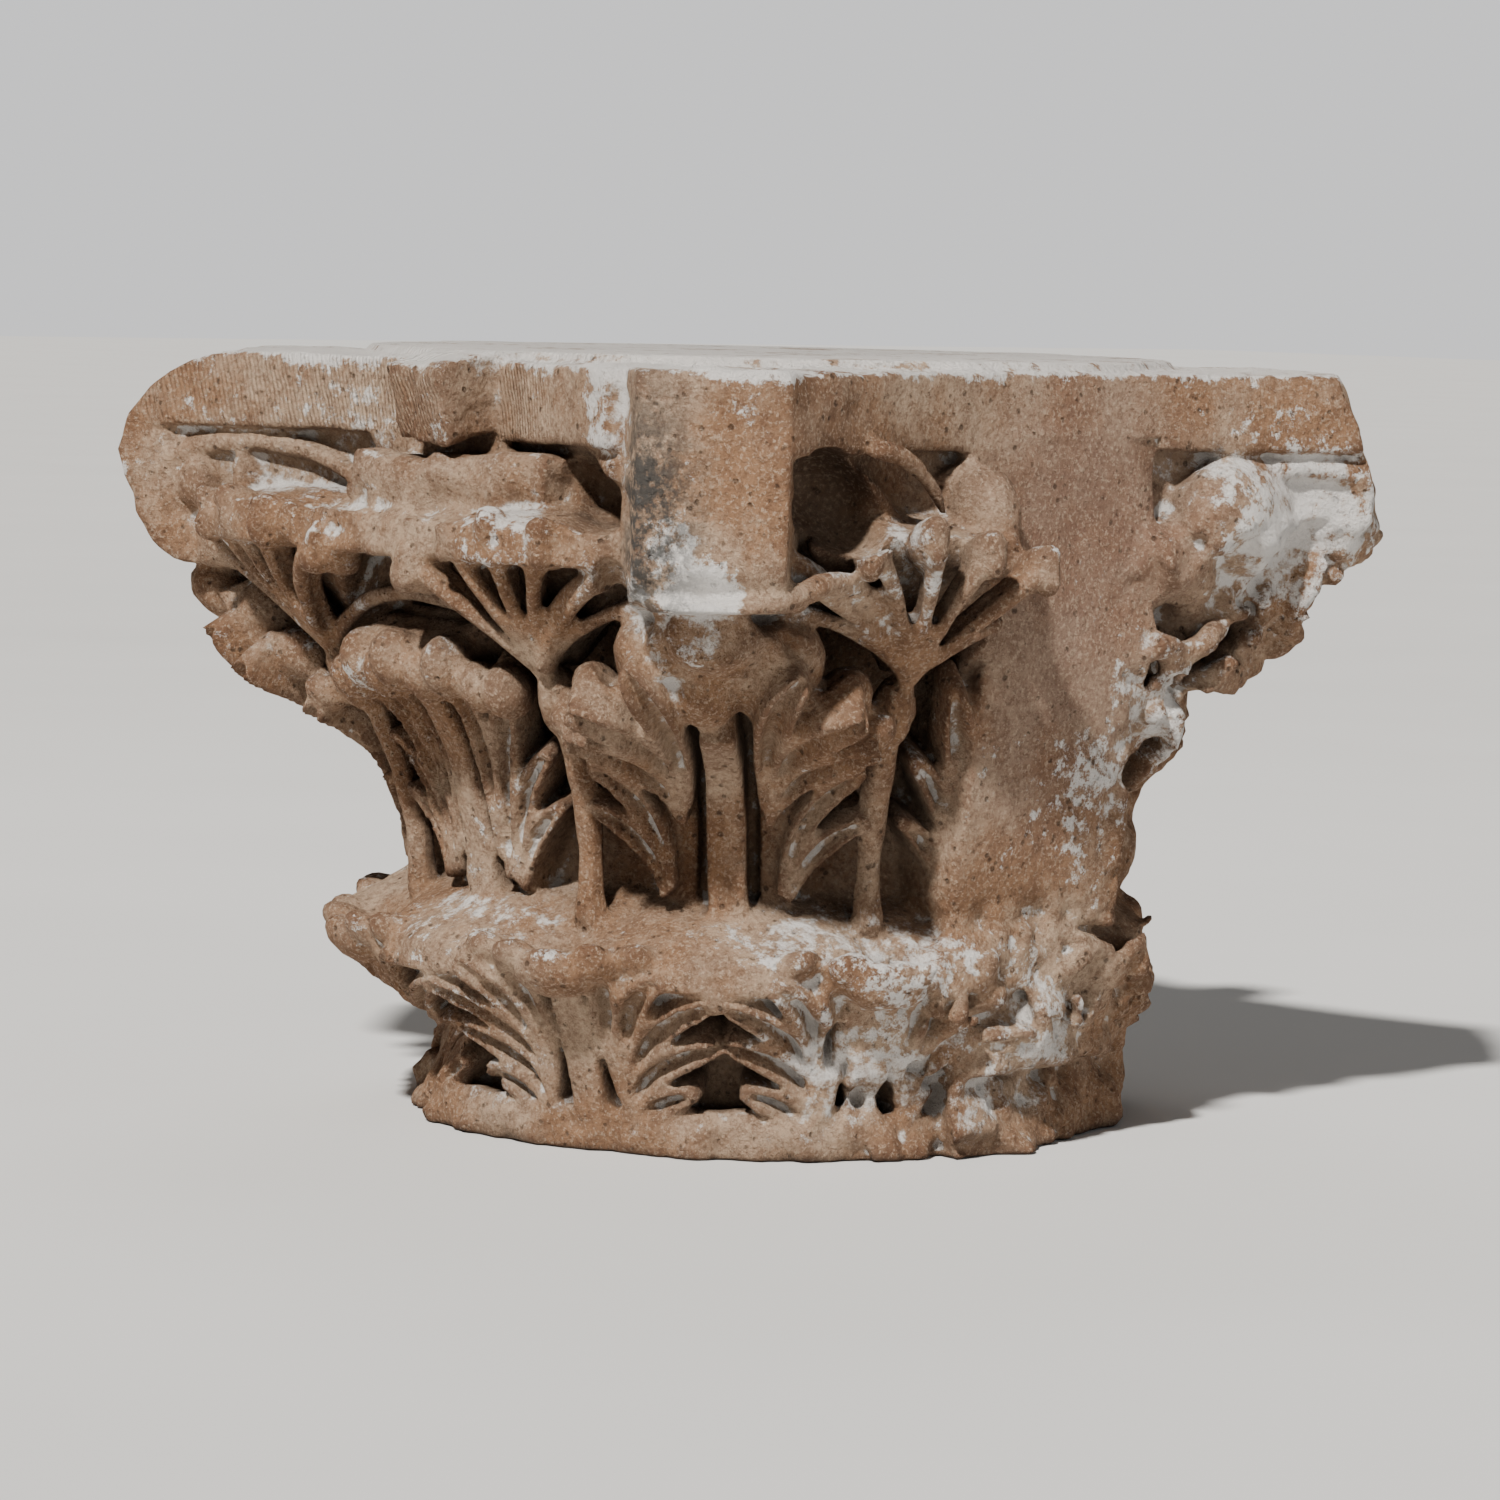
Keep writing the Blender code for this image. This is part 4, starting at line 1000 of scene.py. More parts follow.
class Stone:
    """The block as a grid of distances to its surface, negative inside.

    Args:
        mesh: The closed blades.
        spacing: Distance between grid points.
        band: How many grid points of true distance lie on each side of the surface.
    """

    def __init__(self, mesh: bpy.types.Mesh, spacing: float, band: int = 7) -> None:
        """Reads the mesh into the grid."""
        self.spacing = spacing
        self.low = np.floor(np.array([-0.39, -0.39, -0.02]) / spacing).astype(int)
        high = np.ceil(np.array([0.39, 0.39, 0.55]) / spacing).astype(int)
        self.count = high - self.low + 1
        points = np.empty(len(mesh.vertices) * 3, np.float32)
        mesh.vertices.foreach_get("co", points)
        corners = np.empty(len(mesh.loops), np.int32)
        mesh.loops.foreach_get("vertex_index", corners)
        quads = len(mesh.polygons) and len(mesh.loops) == 4 * len(mesh.polygons)
        faces = corners.astype(np.uint32).reshape(-1, 4 if quads else 3)
        named = {"quads": faces} if quads else {"triangles": faces}
        transform = openvdb.createLinearTransform(voxelSize=spacing)
        grid = openvdb.FloatGrid.createLevelSetFromPolygons(
            points.reshape(-1, 3), transform=transform, halfWidth=float(band), **named
        )
        self.distance = np.zeros(self.count, np.float32)
        grid.copyToArray(self.distance, ijk=tuple(int(value) for value in self.low))
        axes = [(self.low[k] + np.arange(self.count[k])) * np.float32(spacing) for k in range(3)]
        self.x = axes[0][:, None, None].astype(np.float32)
        self.y = axes[1][None, :, None].astype(np.float32)
        self.z = axes[2][None, None, :].astype(np.float32)
        self.radius = np.sqrt(self.x**2 + self.y**2)
        self.azimuth = (np.degrees(np.arctan2(self.y, self.x)) - ZERO_AZIMUTH + 180) % 360 - 180

    def noise(self, cell: float, seed: int) -> np.ndarray:
        """Makes soft noise between about -1 and 1.

        Args:
            cell: Size of its lumps in metres.
            seed: Which noise.

        Returns:
            A value for each grid point.
        """
        chance = np.random.default_rng(seed)
        step = cell / self.spacing
        size = [int(self.count[k] / step) + 3 for k in range(3)]
        field_values = chance.uniform(-1, 1, size).astype(np.float32)
        for axis in range(3):
            place = np.arange(self.count[axis]) / step
            index = place.astype(int)
            part = (place - index).astype(np.float32)
            part = part * part * (3 - 2 * part)
            shape = [1, 1, 1]
            shape[axis] = -1
            part = part.reshape(shape)
            low = np.take(field_values, index, axis)
            high = np.take(field_values, index + 1, axis)
            field_values = low + (high - low) * part
        return field_values

    def window(self, azimuths, levels, fade: float = 6.0, rise: float = 0.02) -> np.ndarray:
        """Returns a soft mask between two azimuths and two levels."""
        middle, half = sum(azimuths) / 2, (azimuths[1] - azimuths[0]) / 2
        off = np.abs((self.azimuth - middle + 180) % 360 - 180)
        across = np.clip((half - off) / fade + 0.5, 0, 1)
        over = np.clip((self.z - levels[0]) / rise + 0.5, 0, 1)
        under = np.clip((levels[1] - self.z) / rise + 0.5, 0, 1)
        return (across * (over * under)).astype(np.float32)

    def soften(self, rounds: int, share=1.0) -> None:
        """Rounds the edges off.

        Args:
            rounds: How many times.
            share: How much of each rounding is taken, a number or a mask.
        """
        for _ in range(rounds):
            soft = self.distance
            for axis in range(3):
                before = np.roll(soft, 1, axis)
                after = np.roll(soft, -1, axis)
                soft = 0.25 * before + 0.5 * soft + 0.25 * after
            self.distance += (soft - self.distance) * share

    def cut(self, tool: np.ndarray) -> None:
        """Takes away what a tool holds, given as its own distances."""
        np.maximum(self.distance, -tool, out=self.distance)

    def add(self, piece: np.ndarray) -> None:
        """Adds a piece given as its own distances."""
        np.minimum(self.distance, piece, out=self.distance)

    def mesh(self, name: str) -> bpy.types.Mesh:
        """Returns the surface as a mesh."""
        grid = openvdb.FloatGrid(background=self.spacing * 8)
        grid.transform = openvdb.createLinearTransform(voxelSize=self.spacing)
        limit = self.spacing * 3
        start = tuple(int(value) for value in self.low)
        grid.copyFromArray(np.clip(self.distance, -limit, limit), ijk=start)
        points, quads = grid.convertToQuads(isovalue=0.0)
        made = bpy.data.meshes.new(name)
        made.vertices.add(len(points))
        made.vertices.foreach_set("co", points.astype(np.float32).ravel())
        made.loops.add(quads.size)
        made.loops.foreach_set("vertex_index", quads[:, ::-1].astype(np.int32).ravel())
        made.polygons.add(len(quads))
        made.polygons.foreach_set("loop_start", np.arange(0, quads.size, 4, dtype=np.int32))
        made.update(calc_edges=True)
        made.validate()
        return made


@dataclass(frozen=True)
class Loss:
    """A place where the block has broken away along a rough plane.

    Attributes:
        azimuth: Where the plane looks.
        radius: Radius at which the azimuth crosses it.
        height: Height of that crossing.
        lean: Degrees by which the plane's lower end goes inwards.
        half_width: Its reach across.
        below: Its reach under the crossing, along the plane.
        above: Its reach over the crossing.
        rough: Height of its lumps.
        shift: How far it stands aside.
    """

    azimuth: float
    radius: float
    height: float
    lean: float
    half_width: float
    below: float
    above: float
    rough: float = 0.003
    shift: float = 0.0

    def tool(self, stone: Stone, coarse: np.ndarray, fine: np.ndarray) -> np.ndarray:
        """Returns the distances of what is lost."""
        turn = math.radians(self.azimuth + ZERO_AZIMUTH)
        lean = math.radians(self.lean)
        out = stone.x * math.cos(turn) + stone.y * math.sin(turn) - self.radius
        across = -stone.x * math.sin(turn) + stone.y * math.cos(turn) - self.shift
        up = stone.z - self.height
        past = out * math.cos(lean) - up * math.sin(lean)
        along = up * math.cos(lean) + out * math.sin(lean)
        past = past + self.rough * (0.7 * coarse + 0.5 * fine)
        inside = np.minimum(past, self.half_width - np.abs(across))
        inside = np.minimum(inside, np.minimum(along + self.below, self.above - along))
        return -inside


@dataclass
class Weather:
    """What breaking and weather have done to the carved block.

    Attributes:
        block: The block's sizes.
        abacus: The abacus and the sheared face.
        holes: Azimuth, radius, height, depth and two half sizes of each drilled hollow.
        worn: Azimuths, levels, how softly they end, and how worn the stone is between them.
        broken: The same for the rubble at the right corner.
        chipped: The same for the chipped foot.
    """

    block: Block
    abacus: Abacus
    holes: tuple = (
        (11.0, 0.374, 0.444, 0.060, 0.044, 0.034),
        (-14.0, 0.364, 0.444, 0.056, 0.038, 0.025),
        (16.0, 0.262, 0.079, 0.022, 0.0040, 0.020),
        (21.5, 0.258, 0.043, 0.022, 0.0060, 0.008),
        (30.0, 0.262, 0.060, 0.020, 0.0050, 0.007),
        (9.0, 0.262, 0.030, 0.022, 0.0060, 0.010),
        (-40.0, 0.258, 0.034, 0.024, 0.0060, 0.016),
        (32.5, 0.322, 0.512, 0.012, 0.0030, 0.017),
        (-9.5, 0.400, 0.372, 0.040, 0.018, 0.034),
        (26.5, 0.330, 0.446, 0.040, 0.012, 0.016),
    )
    worn: tuple = (
        ((30, 128), (-0.1, 0.165), 6.0, 0.020, 1.0),
        ((60, 118), (0.18, 0.425), 5.0, 0.012, 1.0),
        ((-62, -20), (0.392, 0.466), 3.0, 0.008, 0.7),
        ((-90, -8), (0.404, 0.438), 4.0, 0.010, 0.5),
        ((-50, -28), (0.462, 0.530), 2.0, 0.006, 0.35),
        ((-14, 16), (0.500, 0.540), 3.0, 0.010, 0.35),
        ((-180, 180), (0.130, 0.175), 6.0, 0.020, 0.30),
        ((-180, 180), (-0.1, 0.030), 6.0, 0.020, 0.8),
        ((13, 34), (0.02, 0.15), 6.0, 0.020, 0.8),
    )
    broken: tuple = ((60, 118), (0.31, 0.425), 5.0, 0.012)
    chipped: tuple = ((-180, 180), (-0.1, 0.012), 6.0, 0.020)

    def losses(self) -> list:
        """Returns the places where the block has broken away."""
        shear = self.abacus
        face = Face.SHEARED.value
        reach, knee = shear.shear_reach, shear.shear_knee
        width, shift = shear.shear_width / 2, shear.shear_shift
        return [
            Loss(Corner.NEAR.value, 0.430, 0.450, 0, 0.25, 0.052, 0.2, 0.0012),
            Loss(-74, 0.162, 0.450, 0, 0.05, 0.080, 0.2, 0.0008, shift=0.4),
            Loss(Corner.NEAR.value, 0.392, 0.340, -6, 0.06, 0.05, 0.03, 0.0012),
            Loss(Corner.LEFT.value, 0.4445, 0.468, -16, 0.25, 0.02, 0.2, 0.0014),
            Loss(Corner.LEFT.value, 0.437, 0.484, -34, 0.25, 0.03, 0.2, 0.0014),
            Loss(Corner.LEFT.value, 0.422, 0.499, -48, 0.25, 0.03, 0.2, 0.0014),
            Loss(Corner.LEFT.value, 0.402, 0.513, -62, 0.25, 0.03, 0.2, 0.0014),
            Loss(Corner.LEFT.value, 0.376, 0.521, -77, 0.25, 0.04, 0.2, 0.0014),
            Loss(Corner.RIGHT.value, 0.404, 0.490, -19, 0.25, 0.055, 0.2, 0.003),
            Loss(Corner.RIGHT.value, 0.420, 0.440, 0, 0.25, 0.070, 0.07, 0.003),
            Loss(Corner.RIGHT.value, 0.372, 0.364, 39, 0.17, 0.125, 0.1, 0.008),
            Loss(Corner.RIGHT.value, 0.290, 0.280, 6, 0.15, 0.105, 0.03, 0.006),
            Loss(face, reach, knee, 0, width, 0.0, 0.15, 0.0006, shift),
            Loss(face, reach + 0.001, 0.480, 0, 0.066, 0.02, 0.2, 0.0006),
            Loss(face, reach, knee, shear.shear_lean, width, 0.17, 0.01, 0.001, shift),
            Loss(-78, 0.230, 0.020, -24, 0.12, 0.2, 0.05, 0.003),
            Loss(62, 0.246, 0.015, -20, 0.10, 0.2, 0.04, 0.003),
            Loss(50, 0.270, 0.080, -4, 0.12, 0.2, 0.085, 0.004),
            Loss(95, 0.268, 0.080, -4, 0.14, 0.2, 0.112, 0.004),
            Loss(Face.BOSS.value, 0.340, 0.512, -40, 0.02, 0.03, 0.04, 0.003, shift=0.066),
        ]

    def hollows(self, stone: Stone) -> None:
        """Cuts the hollows beside the scrolls, the drilled holes at the foot and the cracks."""
        for azimuth, radius, height, depth, half_width, half_height in self.holes:
            centre = polar(azimuth, radius, height)
            turn = math.radians(azimuth + ZERO_AZIMUTH)
            x, y, z = stone.x - centre[0], stone.y - centre[1], stone.z - centre[2]
            out = x * math.cos(turn) + y * math.sin(turn)
            across = -x * math.sin(turn) + y * math.cos(turn)
            z = z + 0.35 * across
            reach = np.sqrt((out / depth) ** 2 + (across / half_width) ** 2 + (z / half_height) ** 2)
            stone.cut((reach - 1) * half_height)

    def rough_foot(self, stone: Stone, coarse: np.ndarray) -> None:
        """Fills the foot of the lower row where its leaves have broken away to the rough body."""
        body = stone.radius - 0.257 + 0.004 * coarse
        body = np.maximum(body, stone.z - 0.135)
        body = np.maximum(body, 0.006 * (np.abs((stone.azimuth - 79 + 180) % 360 - 180) - 43))
        stone.add(body)

    def build(self, stone: Stone) -> None:
        """Wears the stone: breaks, hollows, erosion, and the flat beds."""
        coarse, middle, fine = stone.noise(0.030, 11), stone.noise(0.013, 12), stone.noise(0.0075, 13)
        self.rough_foot(stone, coarse)
        for loss in self.losses():
            stone.cut(loss.tool(stone, coarse, middle))
        self.hollows(stone)
        worn = 0.0
        for azimuths, levels, fade, rise, share in self.worn:
            worn = worn + stone.window(azimuths, levels, fade, rise) * share
        worn = np.clip(worn, 0, 1)
        broken = stone.window(*self.broken)
        stone.soften(1, 0.15 + 0.6 * worn)
        swell = stone.noise(0.070, 14)
        stone.distance += 0.0012 * swell + 0.0008 * coarse + 0.0005 * middle
        stone.distance += worn * (0.0040 * coarse + 0.0034 * middle + 0.0012 * fine)
        stone.distance += broken * (0.0045 * coarse + 0.0016 * middle + 0.0008 * fine)
        chipped = stone.window(*self.chipped)
        stone.distance += chipped * (0.0030 + 0.0060 * coarse + 0.0040 * middle)
        top = np.maximum(stone.z - self.block.height, -stone.z)
        np.maximum(stone.distance, top, out=stone.distance)


@dataclass
class CapitalPiece:
    """The visible block."""

    block: Block = field(default_factory=Block)
    spacing: float = 0.0025
    triangles: int = 194000

    def build(self) -> bpy.types.Object:
        """Carves, weathers and meshes the block.

        Returns:
            The block's object.
        """
        carving = Carving()
        abacus = Abacus(self.block)
        for part in (LowerRow(self.block), UpperRow(self.block), Stems(self.block), Fans(), abacus):
            part.build(carving)
            log.info("carved %s", type(part).__name__)
        rough = bpy.data.objects.new("rough_block", carving.mesh("rough_block"))
        bpy.context.scene.collection.objects.link(rough)
        skin = rough.modifiers.new("one_skin", "REMESH")
        skin.mode = "VOXEL"
        skin.voxel_size = self.spacing
        bpy.context.view_layer.update()
        closed = bpy.data.meshes.new_from_object(rough.evaluated_get(bpy.context.evaluated_depsgraph_get()))
        bpy.data.objects.remove(rough)
        stone = Stone(closed, self.spacing)
        Weather(self.block, abacus).build(stone)
        mesh = stone.mesh("capital_stone")
        piece = bpy.data.objects.new("capital_stone", mesh)
        bpy.context.scene.collection.objects.link(piece)
        self.thin(piece)
        self.drop_crumbs(piece.data)
        self.keep_inside(piece.data)
        return piece

    def thin(self, piece: bpy.types.Object) -> None:
        """Spends the triangles where the surface turns."""
        count = 2 * len(piece.data.polygons)
        thin = piece.modifiers.new("fewer", "DECIMATE")
        thin.ratio = min(1.0, self.triangles / count)
        bpy.context.view_layer.update()
        mesh = bpy.data.meshes.new_from_object(piece.evaluated_get(bpy.context.evaluated_depsgraph_get()))
        piece.modifiers.clear()
        piece.data = mesh
        mesh.shade_smooth()
        log.info("%s: %d of %d triangles", piece.name, len(mesh.polygons), count)

    def drop_crumbs(self, mesh: bpy.types.Mesh) -> None:
        """Removes every loose crumb, keeping the one block."""
        shape = bmesh.new()
        shape.from_mesh(mesh)
        shape.verts.ensure_lookup_table()
        seen = set()
        islands = []
        for first in shape.verts:
            if first in seen:
                continue
            seen.add(first)
            island = [first]
            for vertex in island:
                for edge in vertex.link_edges:
                    other = edge.other_vert(vertex)
                    if other not in seen:
                        seen.add(other)
                        island.append(other)
            islands.append(island)
        islands.sort(key=len)
        crumbs = [vertex for island in islands[:-1] for vertex in island]
        bmesh.ops.delete(shape, geom=crumbs, context="VERTS")
        shape.to_mesh(mesh)
        shape.free()
        mesh.shade_smooth()

    def keep_inside(self, mesh: bpy.types.Mesh) -> None:
        """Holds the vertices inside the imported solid's box."""
        points = np.empty(len(mesh.vertices) * 3, np.float32)
        mesh.vertices.foreach_get("co", points)
        points = points.reshape(-1, 3)
        low, high = (np.array(corner, np.float32) for corner in CAD_BOX)
        mesh.vertices.foreach_set("co", np.clip(points, low, high).ravel())
        mesh.update()


@dataclass(frozen=True)
class Colours:
    """The stone's colours, as linear values."""

    body: tuple = (0.340, 0.192, 0.106, 1)
    pale: tuple = (0.600, 0.450, 0.320, 1)
    # Also painted shade in the hollow bends and on the boss.
    rust: tuple = (0.150, 0.074, 0.042, 1)
    # Also painted shade where little light reaches and in the two deep hollows; the dark of the grain's pits
    # too.
    dirt: tuple = (0.045, 0.027, 0.018, 1)
    bruise: tuple = (0.225, 0.130, 0.098, 1)
    lime: tuple = (0.830, 0.800, 0.760, 1)
    soot: tuple = (0.050, 0.052, 0.050, 1)


class Nodes:
    """A short way to place shader nodes in a tree."""

    def __init__(self, tree: bpy.types.NodeTree) -> None:
        """Keeps the tree."""
        self.tree = tree

    def add(self, kind: str, **values) -> bpy.types.Node:
        """Adds a node and sets its inputs by name, linking where a socket is given.

        Args:
            kind: The node's type.
            values: Node properties with a leading underscore, inputs by name with spaces as underscores.

        Returns:
            The node.
        """
        node = self.tree.nodes.new(kind)
        for name, value in values.items():
            if name.startswith("_"):
                setattr(node, name[1:], value)
        for name, value in values.items():
            if not name.startswith("_"):
                self.feed(node, name.replace("_", " "), value)
        return node

    def feed(self, node: bpy.types.Node, name: str, value) -> None:
        """Sets or links one input of a node, by name or by number."""
        numbered = name.startswith("at") and name[2:].isdigit()
        socket = node.inputs[int(name[2:]) if numbered else name]
        if isinstance(value, bpy.types.NodeSocket):
            self.tree.links.new(value, socket)
        else:
            socket.default_value = value

    def maths(self, kind: str, one, other=0.0):
        """Adds a Math node and returns its output."""
        node = self.add("ShaderNodeMath", _operation=kind, at0=one, at1=other)
        return node.outputs[0]

    def spread(self, value, low: float, high: float, start: float = 0.0, end: float = 1.0):
        """Returns a value spread from one range to another, smoothly."""
        node = self.add(
            "ShaderNodeMapRange",
            _interpolation_type="SMOOTHSTEP",
            Value=value,
            From_Min=low,
            From_Max=high,
            To_Min=start,
            To_Max=end,
        )
        return node.outputs["Result"]

    def blend(self, share, one, other):
        """Returns two colours mixed by a share."""
        node = self.add("ShaderNodeMix", _data_type="RGBA", at0=share, at6=one, at7=other)
        return node.outputs[2]

    def cover(self, mask, strength: float, colour, other):
        """Returns a colour with another laid over it where the mask is, at a strength."""
        return self.blend(self.maths("MULTIPLY", mask, strength), colour, other)

    def lumps(self, place, scale: float, detail: float = 6.0, rough: float = 0.6):
        """Returns noise at a scale."""
        node = self.add("ShaderNodeTexNoise", Vector=place, Scale=scale, Detail=detail, Roughness=rough)
        return node.outputs["Fac"]

    def swing(self, place, scale: float, detail: float, rough: float):
        """Returns noise that goes from -1 to 1."""
        centred = self.maths("SUBTRACT", self.lumps(place, scale, detail, rough), 0.5)
        return self.maths("MULTIPLY", centred, 2.0)


class StoneGroups:
    """The shared effects of the stone, each a node group."""

    @staticmethod
    def start(name: str, inputs: list, outputs: list) -> tuple:
        """Starts a node group with named sockets.

        Args:
            name: The group's name.
            inputs: Names and socket types.
            outputs: Names and socket types.

        Returns:
            The group, its input node and its output node.
        """
        group = bpy.data.node_groups.new(name, "ShaderNodeTree")
        for socket, kind in inputs:
            group.interface.new_socket(socket, in_out="INPUT", socket_type=kind)
        for socket, kind in outputs:
            group.interface.new_socket(socket, in_out="OUTPUT", socket_type=kind)
        return group, group.nodes.new("NodeGroupInput"), group.nodes.new("NodeGroupOutput")

    @classmethod
    def grain(cls) -> bpy.types.NodeTree:
        """Returns the speckled grain: a mask of light specks, one of dark pits and a height."""
        vector, value = "NodeSocketVector", "NodeSocketFloat"
        outputs = [("Specks", value), ("Pits", value), ("Height", value)]
        group, start, end = cls.start("stone_grain", [("Place", vector), ("Scale", value)], outputs)
        nodes = Nodes(group)
        place, scale = start.outputs["Place"], start.outputs["Scale"]
        fine = nodes.lumps(place, scale, 5.0, 0.75)
        middle = nodes.lumps(place, nodes.maths("MULTIPLY", scale, 0.30), 5.0, 0.70)
        cells = nodes.add("ShaderNodeTexVoronoi", Vector=place, Scale=nodes.maths("MULTIPLY", scale, 0.40))
        specks = nodes.spread(fine, 0.50, 0.64)
        gate = nodes.spread(middle, 0.50, 0.60)
        pits = nodes.maths("MULTIPLY", nodes.spread(cells.outputs["Distance"], 0.34, 0.14), gate)
        small, large = nodes.maths("MULTIPLY", fine, 0.55), nodes.maths("MULTIPLY", middle, 1.6)
        height = nodes.maths("ADD", small, large)
        height = nodes.maths("SUBTRACT", height, nodes.maths("MULTIPLY", pits, 0.8))
        group.links.new(specks, end.inputs["Specks"])
        group.links.new(pits, end.inputs["Pits"])
        group.links.new(height, end.inputs["Height"])
        return group

    @classmethod
    def deposit(cls) -> bpy.types.NodeTree:
        """Returns the mask of white lime on edges, on ledges and in patches."""
        vector, value = "NodeSocketVector", "NodeSocketFloat"
        inputs = [("Place", vector), ("Edge", value), ("Ledge", value), ("Patch", value)]
        group, start, end = cls.start("lime_deposit", inputs, [("Mask", value)])
        nodes = Nodes(group)
        place = start.outputs["Place"]
        broad = nodes.swing(place, 13.0, 6.0, 0.68)
        ragged = nodes.swing(place, 85.0, 7.0, 0.78)
        total = nodes.maths("ADD", start.outputs["Edge"], start.outputs["Ledge"])
        total = nodes.maths("ADD", total, start.outputs["Patch"])
        total = nodes.maths("ADD", total, nodes.maths("ADD", broad, ragged))
        group.links.new(nodes.spread(total, 0.46, 0.64), end.inputs["Mask"])
        return group

    @classmethod
    def stroke(cls) -> bpy.types.NodeTree:
        """Returns the ridges that a toothed chisel left, as a height."""
        vector, value = "NodeSocketVector", "NodeSocketFloat"
        inputs = [("Place", vector), ("Pitch", value)]
        group, start, end = cls.start("chisel_marks", inputs, [("Height", value)])
        nodes = Nodes(group)
        turned = nodes.add("ShaderNodeMapping", Vector=start.outputs["Place"], Rotation=(0.0, 0.25, 0.0))
        scale = nodes.maths("DIVIDE", 0.314, start.outputs["Pitch"])
        wave = nodes.add(
            "ShaderNodeTexWave", Vector=turned.outputs[0], Scale=scale, Distortion=1.6, Detail=1.0
        )
        group.links.new(wave.outputs["Fac"], end.inputs["Height"])
        return group


@dataclass(frozen=True)
class MarbleFinish:
    """Weathered marble: tan body, white lime, dark stains down the near corner, grain, pits and tooling,
    with painted shade in its recesses and hollows and painted highlights on its edges.

    Attributes:
        colours: The stone's colours.
        roughness: How rough it is.
        grain_scale: How fine the grain is.
        chisel_pitch: Distance between the claw chisel's grooves.
        stain_centre: Middle of the dark stain.
        stain_reach: How far the stain goes.
        edge_range: The bends that count as edges, and the share of lime and of painted highlight they take.
        recess_range: The hollow bends that count as recesses, which take painted shade.
        shelter_reach: How near the stone has to be to shelter a point.
        dirt_range: The shelter that takes painted shade, and how much.
        ledge_range: The slopes that count as ledges, and the share of lime they take.
        top_range: The levels at the top of the abacus that take more lime, and how much.
        patches: Centre, reach and strength of each patch of lime.
        tints: Centre, reach, strength and colour of each tint; some of them are painted shade.
    """

    colours: Colours = Colours()
    roughness: float = 0.90
    grain_scale: float = 330.0
    chisel_pitch: float = 0.0035
    stain_centre: tuple = (0.274, -0.338, 0.430)
    stain_reach: float = 0.060
    edge_range: tuple = (0.505, 0.585, 0.0, 0.72)
    recess_range: tuple = (0.496, 0.43)
    shelter_reach: float = 0.080
    dirt_range: tuple = (0.60, 0.12, 0.0, 0.85)
    ledge_range: tuple = (0.30, 0.95, 0.09, 0.27)
    top_range: tuple = (0.508, 0.527, 0.0, 0.50)
    patches: tuple = (
        ((0.345, 0.200, 0.415), 0.14, 0.62),
        ((0.300, 0.100, 0.250), 0.14, 0.26),
        ((0.230, -0.120, 0.105), 0.12, 0.36),
        ((0.268, -0.030, 0.080), 0.12, 0.24),
        ((0.245, 0.070, 0.040), 0.10, 0.14),
        ((0.285, -0.310, 0.385), 0.07, 0.40),
        ((0.180, -0.310, 0.410), 0.14, 0.22),
        ((-0.120, -0.320, 0.410), 0.24, 0.24),
        ((0.300, -0.180, 0.400), 0.09, 0.42),
        ((0.010, -0.352, 0.485), 0.045, 0.34),
        ((0.020, -0.300, 0.110), 0.16, 0.20),
        ((0.215, -0.305, 0.500), 0.07, 0.30),
        ((0.302, -0.298, 0.373), 0.04, 0.50),
        # No lime in the two deep hollows beside the scrolls, which take painted shadow.
        ((0.285, -0.192, 0.448), 0.06, -1.50),
        ((0.178, -0.290, 0.450), 0.05, -1.20),
    )
    tints: tuple = (
        # On the boss: its own orange-brown tone together with painted shade on it.
        ((0.044, -0.345, 0.484), 0.050, 0.60, "rust"),
        ((0.290, 0.030, 0.420), 0.150, 0.55, "bruise"),
        ((0.285, 0.020, 0.280), 0.120, 0.40, "bruise"),
        ((0.300, -0.230, 0.500), 0.090, 0.35, "rust"),
        # Painted shadow: darker colour in the two deep hollows beside the scrolls, under the abacus
        # overhang.
        ((0.285, -0.192, 0.450), 0.055, 0.75, "dirt"),
        ((0.178, -0.290, 0.450), 0.045, 0.60, "dirt"),
    )

    def tone(self, nodes: Nodes, place, edge, recess, dirt, grain: bpy.types.Node):
        """Returns the colour of the bare stone, with painted highlights on its edges and painted shade in
        its hollows.

        Args:
            nodes: The tree's nodes.
            place: The point on the stone.
            edge: Mask of the outer bends, which take a painted highlight.
            recess: Mask of the hollow bends, which take painted shade.
            dirt: Mask of what little light reaches, where painted shade is laid.
            grain: The grain group.

        Returns:
            The colour.
        """
        broad = nodes.spread(nodes.lumps(place, 8.0, 6.0, 0.66), 0.42, 0.60)
        mottle = nodes.spread(nodes.lumps(place, 34.0, 8.0, 0.80), 0.44, 0.66)
        crust = nodes.spread(nodes.lumps(place, 190.0, 6.0, 0.78), 0.46, 0.60)
        colour = nodes.cover(broad, 0.7, self.colours.body, self.colours.pale)
        colour = nodes.cover(mottle, 0.55, colour, self.colours.rust)
        colour = nodes.cover(crust, 0.50, colour, self.colours.rust)
        for centre, reach, strength, name in self.tints:
            mask = self.near(nodes, place, centre, reach)
            colour = nodes.cover(mask, strength, colour, getattr(self.colours, name))
        # Painted highlight: pale laid over the outer bends.
        colour = nodes.cover(edge, 0.80, colour, self.colours.pale)
        # Painted shade: darker brown laid in the hollow bends.
        colour = nodes.cover(recess, 0.70, colour, self.colours.rust)
        colour = nodes.cover(grain.outputs["Specks"], 0.60, colour, self.colours.pale)
        colour = nodes.cover(grain.outputs["Pits"], 0.65, colour, self.colours.dirt)
        # Painted shade: darkest where the ambient occlusion finds little light reaching.
        return nodes.blend(dirt, colour, self.colours.dirt)

